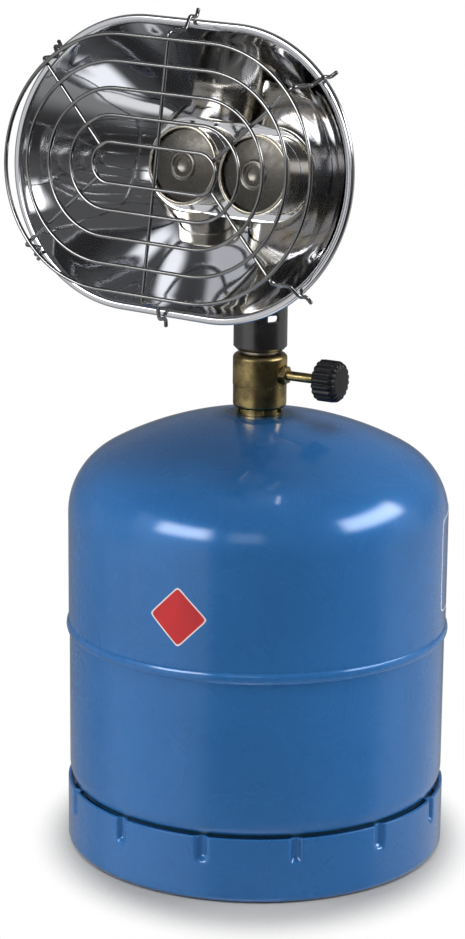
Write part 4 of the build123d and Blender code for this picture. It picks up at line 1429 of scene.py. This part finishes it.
@dataclass
class Burners(Assembly):
    """Both burners: cups, domed gauze, rim rings and dished centre studs.

    Sizes are in millimetres; forward distances are from the pivot.

    Attributes:
        offset: from the middle to a burner's axis.
        rise: height of the axes above the pivot.
        front: forward distance of a cup's front edge.
        ring_radius: outside of a rim ring.
        ring_seat: radius that the ring's skirt has inside.
        ring_hole: radius of the ring's opening.
        cloth_hole: radius of the hole in the cloth.
        cloth_radius: radius of the cloth.
        stud_radius: radius of a stud.
        dish_radius: radius of the dish in it.
    """

    offset: float = 20.9
    rise: float = HEAD_RISE
    front: float = 55.9
    ring_radius: float = 20.35
    ring_seat: float = 19.82
    ring_hole: float = 18.5
    cloth_hole: float = 3.5
    cloth_radius: float = 18.7
    stud_radius: float = 7.8
    dish_radius: float = 6.0

    def axes(self, side: int) -> Axes:
        """Return the axes of the left (-1) or right (1) burner."""
        origin = HEAD.carry(np.array(side * self.offset * MM), np.array(self.rise * MM), np.array(0.0))
        return Axes(tuple(origin), HEAD.across, HEAD.up, HEAD.forward)

    def ring(self, axes: Axes, turns: np.ndarray) -> Surface:
        """Rim ring: an angle section whose outer and inner edges are rounded."""
        back, front, seat = self.front - 2.4, self.front + 1.0, self.front + 0.02
        corners = [(self.ring_radius, back), (self.ring_radius, front), (self.ring_hole, front)]
        corners += [(self.ring_hole, seat), (self.ring_seat, seat)]
        corners += [(self.ring_seat, back), (self.ring_radius, back)]
        profile = spaced(filleted(corners, [0.75, 0.45, 0.2, 0.1, 0.1], 6), 0.6)[:-1]
        return lathe(profile * MM, axes, turns, True)

    def cloth(self, axes: Axes, turns: np.ndarray) -> Surface:
        """Domed cloth between the ring and the stud, a thin closed skin."""
        reach = np.linspace(self.cloth_hole, self.cloth_radius, 40)
        dome = 1.6 * (1.0 - (reach / self.cloth_radius) ** 2) + self.front - 1.2
        face = np.stack([reach, dome], axis=1)
        profile = np.vstack([face, face[::-1] - np.array([0.0, 0.8])])
        return lathe(profile * MM, axes, turns, True)

    def stud(self, axes: Axes, turns: np.ndarray) -> Surface:
        """Centre stud: a low, wide ring with a dish in it."""
        f = self.front
        reach = np.linspace(0.0, self.stud_radius, 40)
        inside = f - 0.9 + 1.7 * (reach / self.dish_radius) ** 2
        beyond = np.clip((reach - self.dish_radius) / 1.8, 0.0, 1.0)
        outside = f + 0.15 + 0.65 * np.cos(beyond * math.pi / 2.0)
        dish = np.where(reach > self.dish_radius, outside, inside)
        back = np.array([[self.stud_radius, f - 0.5], [3.3, f - 0.9], [0.0, f - 1.6]])
        profile = np.vstack([np.stack([reach, dish], axis=1), back])
        return lathe(profile * MM, axes, turns, False)

    def build(self) -> None:
        """Add the faces of both burners and dress their cups and baffles."""
        turns = once_round(160)
        for side, label in ((-1, "left"), (1, "right")):
            axes = self.axes(side)
            ring = self.ring(axes, turns)
            self.piece(f"rim_ring_{label}", ring, Slot.BURNER, Body.HEAD, (f"gauze_ring_{label}",))
            self.piece(f"cloth_{label}", self.cloth(axes, turns), Slot.GAUZE, Body.HEAD, (f"gauze_{label}",))
            stud = self.stud(axes, turns)
            self.piece(f"stud_{label}", stud, Slot.BURNER, Body.HEAD, (f"centre_stud_{label}",), STUD_FINISH)
            self.dress(Slot.BURNER, f"burner_cup_{label}", finish=CUP_FINISH)
            self.dress(Slot.BURNER, f"baffle_{label}", f"burner_neck_{label}")


@dataclass
class ReflectorBowl(Assembly):
    """The oblong parabolic reflector with its rolled rim.

    Sizes are in millimetres; forward distances are from the pivot.

    Attributes:
        rim_forward: forward distance of the rim's plane.
        depth: depth of the bowl.
        floor: radius of its flat floor.
        focus: focal length of the parabola.
        lip: radius where the parabola ends.
        rim: outer radius of the rim.
        bead: radius of the rolled bead.
        wall: thickness of the sheet.
    """

    rim_forward: float = RIM_FORWARD
    depth: float = 52.0
    floor: float = 24.0
    focus: float = 20.386
    lip: float = 69.4
    rim: float = RIM_RADIUS
    bead: float = 1.5
    wall: float = 0.8

    def profile(self) -> np.ndarray:
        """Closed section of the sheet: the parabola, its rounded lip, the bead and the parabola's back.

        The height at a radius is (radius^2 - floor^2) / (4 focus) above the floor, and the back is the
        front moved by the wall along its own normal. The front's last points give way to the lip's arc.

        Returns:
            Radius and forward distance of each point.
        """
        reach = np.linspace(self.floor, self.lip, 60)
        height = (reach**2 - self.floor**2) / (4.0 * self.focus) - self.depth
        slope = reach / (2.0 * self.focus)
        length = np.sqrt(1.0 + slope**2)
        back = np.stack([reach + self.wall * slope / length, height - self.wall / length], axis=1)
        front = np.stack([reach, height], axis=1)
        centre = self.rim - self.bead
        rounded = 8
        corner = filleted([tuple(front[-rounded]), (self.lip, 0.0), (centre, 0.0)], 2.4, 10)
        front = np.vstack([front[:-rounded], corner[:-1]])
        bead = arc((centre, -self.bead), self.bead, 90.0, -208.0, 26)
        back = back[back[:, 1] < -self.wall - 0.3]
        line = np.vstack([[[0.0, -self.depth]], front, bead, back[::-1], [[0.0, -self.depth - self.wall]]])
        line = spaced(line, 1.6)
        return line + np.array([0.0, self.rim_forward])

    def build(self) -> None:
        """Add the reflector."""
        surface = Oblong().carry(self.profile() * MM, 96, 26, sway=0.00012)
        self.piece("bowl_mirror", surface, Slot.MIRROR, Body.HEAD, ("reflector",), sharp=42.0)


@dataclass
class WireGuard(Assembly):
    """The wire guard: five hoops, the upright wire and four spokes with hooked legs.

    Sizes are in millimetres; forward distances are from the pivot.

    Attributes:
        hoop_forward: forward distance of the hoops.
        wire_forward: forward distance of the wires behind them.
        inner: radius of the smallest hoop.
        pitch: distance from hoop to hoop.
        hoops: number of hoops.
        wire: radius of the wire.
        bend: radius of its bends.
        rise: height of the middle above the pivot.
        offset: from the middle to each round end's centre.
    """

    hoop_forward: float = 116.4
    wire_forward: float = 114.35
    inner: float = 10.05
    pitch: float = 13.05
    hoops: int = 5
    wire: float = 1.0
    bend: float = 2.0
    rise: float = HEAD_RISE
    offset: float = HEAD_OFFSET

    def hoop(self, radius: float) -> Surface:
        """One closed hoop: a circle carried round the oblong."""
        section = arc((radius, self.hoop_forward), self.wire, 0.0, 360.0, 17)[:-1]
        return Oblong().carry(section * MM, 72, 12)

    def leg(self) -> np.ndarray:
        """Corners of a leg as reach and forward distance, from the outer hoop to its hooked tip."""
        outer = self.inner + self.pitch * (self.hoops - 1) + 3.5
        rim = RIM_RADIUS + self.wire + 0.15
        behind = RIM_FORWARD - 3.0
        return np.array(
            [
                [outer, self.wire_forward],
                [outer + 2.0, self.wire_forward - 14.5],
                [rim, self.wire_forward - 17.5],
                [rim, behind - self.wire],
                [RIM_RADIUS + self.wire + 4.5, behind - 2.0 * self.wire],
            ]
        )

    def wire_piece(self, across: float, angle: float, corners: np.ndarray) -> Surface:
        """A wire in the plane through an end's centre at an angle.

        Args:
            across: place of the plane's origin across the head.
            angle: angle of its reach from across to up, in degrees.
            corners: reach and forward distance of each corner.

        Returns:
            The wire's surface.
        """
        line = spaced(filleted(corners, self.bend, 7), 2.5)
        cosine, sine = math.cos(math.radians(angle)), math.sin(math.radians(angle))
        x, y = across + line[:, 0] * cosine, self.rise + line[:, 0] * sine
        path = HEAD.carry(x * MM, y * MM, line[:, 1] * MM)
        along, up, _ = (np.asarray(d) for d in HEAD.directions())
        return tube(path, cosine * up - sine * along, self.wire * MM)

    def build(self) -> None:
        """Add the hoops, the upright wire and the spokes."""
        hoops = self.hoop(self.inner)
        for number in range(1, self.hoops):
            hoops = hoops.joined(self.hoop(self.inner + self.pitch * number))
        self.piece("hoops", hoops, Slot.WIRE, Body.HEAD, ("guard_hoops",))
        leg = self.leg()
        mirrored = leg[::-1] * np.array([-1.0, 1.0])
        upright = self.wire_piece(0.0, 90.0, np.vstack([mirrored, leg]))
        self.piece("upright_wire", upright, Slot.WIRE, Body.HEAD, ("guard_upright",))
        for number, (outward, upward) in enumerate(((1, 1), (1, -1), (-1, 1), (-1, -1)), start=1):
            angle = upward * (45.0 if outward > 0 else 135.0)
            start = self.spoke_start(angle)
            wire = self.wire_piece(outward * self.offset, angle, np.vstack([[start], leg]))
            self.piece(f"spoke_{number}", wire, Slot.WIRE, Body.HEAD, (f"guard_spoke_{number}",))

    def spoke_start(self, angle: float) -> tuple[float, float]:
        """Return where a spoke starts on the smallest hoop, as reach and forward distance."""
        return self.inner * math.cos(math.radians(abs(abs(angle) - 90.0) / 2.0)), self.wire_forward


@dataclass
class HeadPlumbing(Assembly):
    """Tubes, plate and nuts behind the reflector, dressed CAD nodes."""

    def build(self) -> None:
        """Dress the nodes behind the reflector."""
        self.dress(Slot.TUBE, "riser_tube", "manifold_tube")
        self.dress(Slot.ZINC, "mounting_plate", "clamp_nut_left", "clamp_nut_right")


# ------------------------------------------------------------------ studio
@dataclass(frozen=True)
class Reflected:
    """A panel of the studio that gloss surfaces mirror.

    Attributes:
        azimuth: its middle round from the camera's side, to the right, in degrees.
        elevation: its middle above the horizon, in degrees.
        half_width: half of its width, in degrees.
        half_height: half of its height, in degrees.
        level: its brightness.
        soft: width of its soft edge, in degrees.
    """

    azimuth: float
    elevation: float
    half_width: float
    half_height: float
    level: float
    soft: float = 3.0


@dataclass
class Studio:
    """Soft light, a pale floor and the surroundings that gloss surfaces mirror.

    Attributes:
        camera_turn: azimuth of the camera from -Y towards +X, in degrees.
        floor_size: side of the floor, in metres.
        ambient: grey that lights matt surfaces from all sides.
        panels: what gloss surfaces mirror; a later one covers those before it.
    """

    camera_turn: float = CAMERA_TURN
    floor_size: float = 40.0
    ambient: float = 0.29
    panels: tuple[Reflected, ...] = field(
        default=(
            Reflected(180.0, 40.0, 75.0, 38.0, 0.18, 8.0),
            Reflected(-180.0, 40.0, 75.0, 38.0, 0.18, 8.0),
            Reflected(27.0, -28.0, 56.0, 26.0, 0.085, 9.0),
            Reflected(22.0, -14.0, 46.0, 16.0, 0.03, 11.0),
            Reflected(34.0, -47.0, 34.0, 11.0, 0.24, 8.0),
            Reflected(-70.0, -24.0, 32.0, 24.0, 0.48, 10.0),
            Reflected(-56.0, 6.0, 27.0, 24.0, 0.65, 4.0),
            Reflected(-100.0, 0.0, 22.0, 12.0, 0.3, 6.0),
            Reflected(100.0, 0.0, 14.0, 16.0, 0.45, 5.0),
            Reflected(118.0, -28.0, 38.0, 26.0, 0.42, 10.0),
            Reflected(-17.0, -72.0, 45.0, 22.0, 0.85, 3.0),
            Reflected(-7.0, 20.0, 10.0, 7.0, 1.4, 4.0),
            Reflected(-47.0, 21.0, 17.0, 7.0, 9.5, 5.0),
            Reflected(80.0, 27.0, 24.0, 8.0, 9.0, 5.0),
        )
    )

    def directions(self) -> tuple[tuple[float, float, float], tuple[float, float, float]]:
        """Return the level directions to the camera and to its right."""
        turn = math.radians(self.camera_turn)
        return (math.sin(turn), -math.cos(turn), 0.0), (math.cos(turn), math.sin(turn), 0.0)

    def world(self) -> None:
        """Light the scene evenly, show white to the camera and the panels to gloss surfaces."""
        world = bpy.data.worlds.new("studio")
        bpy.context.scene.world = world
        g = blank(world)
        ray = g.add("ShaderNodeLightPath")
        place = g.add("ShaderNodeTexCoord").outputs["Generated"]
        toward, beside = (g.dot(place, way) for way in self.directions())
        azimuth = g.math("DEGREES", g.math("ARCTAN2", beside, toward))
        elevation = g.math("DEGREES", g.math("ARCSINE", g.dot(place, UP)))
        level = g.remap(elevation, -9.0, 5.0, 0.21, 0.09, smooth=True)
        for panel in self.panels:
            mask = None
            for value, middle, half in (
                (azimuth, panel.azimuth, panel.half_width),
                (elevation, panel.elevation, panel.half_height),
            ):
                away = g.math("ABSOLUTE", g.math("SUBTRACT", value, middle))
                window = g.remap(away, half - panel.soft, half + panel.soft, 1.0, 0.0, smooth=True)
                mask = window if mask is None else g.math("MULTIPLY", mask, window)
            kept = g.math("MULTIPLY", level, g.math("SUBTRACT", 1.0, mask))
            level = g.math("MULTIPLY_ADD", mask, panel.level, kept)
        glossy = g.math("MAXIMUM", ray.outputs["Is Glossy Ray"], ray.outputs["Is Transmission Ray"])
        colour = g.mix(glossy, (self.ambient, self.ambient, self.ambient, 1.0), g.grey(level))
        colour = g.mix(ray.outputs["Is Camera Ray"], colour, (1.0, 1.0, 1.0, 1.0))
        background = g.add("ShaderNodeBackground")
        g.feed(background.inputs["Color"], colour)
        output = g.add("ShaderNodeOutputWorld")
        g.feed(output.inputs["Surface"], background.outputs["Background"])

    def softbox(
        self, name: str, azimuth: float, elevation: float, distance: float, size: float, power: float
    ) -> None:
        """Add an area light that faces the object.

        Args:
            name: name of the light.
            azimuth: its place round from the camera's side, in degrees.
            elevation: its place above the horizon, in degrees.
            distance: its distance, in metres.
            size: its side, in metres.
            power: its power, in watts.
        """
        light = bpy.data.lights.new(name, "AREA")
        light.shape = "SQUARE"
        light.size = size
        light.energy = power
        thing = placed(name, light)
        turn = math.radians(self.camera_turn + azimuth)
        lift = math.radians(elevation)
        middle = Vector((0.0, 0.0, 0.2))
        way = Vector((math.sin(turn) * math.cos(lift), -math.cos(turn) * math.cos(lift), math.sin(lift)))
        thing.location = middle + distance * way
        thing.rotation_euler = way.to_track_quat("Z", "Y").to_euler()
        thing.visible_glossy = False

    def floor(self) -> None:
        """Add the pale floor: near the foot the camera sees it darker than the light it throws back, as a
        painted shadow that fades into the white on top of the real one, and gloss surfaces mirror it
        faintly.
        """
        half = self.floor_size / 2.0
        mesh = bpy.data.meshes.new("floor")
        corners = [(-half, -half, 0.0), (half, -half, 0.0), (half, half, 0.0), (-half, half, 0.0)]
        mesh.from_pydata(corners, [], [(0, 1, 2, 3)])
        material = bpy.data.materials.new("floor_paper")
        g = blank(material)
        place = g.add("ShaderNodeTexCoord").outputs["Object"]
        diffuse = g.add("ShaderNodeBsdfDiffuse")
        ray = g.add("ShaderNodeLightPath")
        grain = g.remap(g.noise(place, 25.0), 0.3, 0.7, 0.96, 1.0)
        # Painted shadow: the camera sees the floor at 0.30 of its albedo while bounced light sees 0.85, so
        # it shows grey round the foot.
        share = g.remap(ray.outputs["Is Camera Ray"], 0.0, 1.0, 0.85, 0.30)
        g.feed(diffuse.inputs["Color"], g.grey(g.math("MULTIPLY", grain, share)))
        clear = g.add("ShaderNodeBsdfTransparent")
        # Painted shadow: the camera sees the floor only inside an oval round the foot, longer towards the
        # camera, and white beyond it.
        toward, beside = self.directions()
        across = g.dot(place, beside)
        nearer = g.math("MULTIPLY", g.dot(place, toward), 0.8)
        reach = g.math("SQRT", g.math("ADD", g.math("POWER", across, 2.0), g.math("POWER", nearer, 2.0)))
        seen = g.math("MULTIPLY", ray.outputs["Is Camera Ray"], g.remap(reach, 0.090, 0.124, smooth=True))
        mirrored = g.math("MULTIPLY", ray.outputs["Is Glossy Ray"], g.remap(reach, 0.11, 0.28, 0.88, 1.0))
        hidden = g.math("ADD", mirrored, seen, clamp=True)
        mixer = g.add("ShaderNodeMixShader")
        g.feed(mixer.inputs[0], hidden)
        g.feed(mixer.inputs[1], diffuse.outputs["BSDF"])
        g.feed(mixer.inputs[2], clear.outputs["BSDF"])
        output = g.add("ShaderNodeOutputMaterial")
        g.feed(output.inputs["Surface"], mixer.outputs["Shader"])
        mesh.materials.append(material)
        thing = placed("floor", mesh)

    def build(self) -> None:
        """Set up the surroundings, the lights and the floor."""
        self.world()
        self.softbox("softbox_left", -84.0, 18.0, 1.8, 1.0, 25.5)
        self.softbox("softbox_right", 88.0, 18.0, 1.8, 1.0, 25.5)
        self.softbox("softbox_top", 4.0, 78.0, 1.9, 1.2, 46.0)
        self.floor()
        log.info("studio: %d mirrored panels", len(self.panels))


@dataclass
class PhotoCamera:
    """The camera that shows the heater from its front right side, a little from above.

    Attributes:
        turn: its azimuth from -Y towards +X, in degrees.
        distance: its distance from the cylinder's axis, in metres.
        height: its height, in metres.
        pitch: how far it looks down, in radians.
        yaw: how far it looks to the right of the axis, in radians.
        roll: how far it leans, in radians.
        lens: focal length for a sensor 36 mm high, in millimetres.
    """

    turn: float = CAMERA_TURN
    distance: float = 1.4
    height: float = 0.5522
    pitch: float = 0.24315
    yaw: float = -0.010007
    roll: float = 0.009616
    lens: float = 103.81

    def build(self) -> None:
        """Add the camera and make it the scene's own."""
        data = bpy.data.cameras.new("camera")
        data.lens = self.lens
        data.sensor_width = 36.0
        data.sensor_fit = "AUTO"
        data.clip_end = 60.0
        level = math.cos(self.pitch)
        looking = Vector(
            (math.sin(self.yaw) * level, math.cos(self.yaw) * level, -math.sin(self.pitch))
        )
        beside = Vector((math.cos(self.yaw), -math.sin(self.yaw), 0.0))
        upright = beside.cross(looking)
        right = beside * math.cos(self.roll) + upright * math.sin(self.roll)
        top = upright * math.cos(self.roll) - beside * math.sin(self.roll)
        pose = Matrix((right, top, -looking)).transposed().to_4x4()
        pose.translation = Vector((0.0, -self.distance, self.height))
        thing = placed("camera", data)
        thing.matrix_world = Matrix.Rotation(math.radians(self.turn), 4, "Z") @ pose
        bpy.context.scene.camera = thing


def main() -> None:
    """Build every sub-assembly in order, then the studio and the camera."""
    logging.basicConfig(level=logging.INFO, format="%(name)s %(message)s")
    rack = FinishRack()
    for kind in (
        GasCylinder,
        CylinderLabels,
        ValveTrain,
        ControlKnob,
        SwivelFork,
        Burners,
        ReflectorBowl,
        WireGuard,
        HeadPlumbing,
    ):
        assembly = kind(rack)
        assembly.build()
        log.info("%s done", kind.__name__)
    Studio().build()
    PhotoCamera().build()
    bpy.context.scene.view_settings.view_transform = "Standard"
    bpy.context.view_layer.update()


if __name__ == "__main__":
    main()
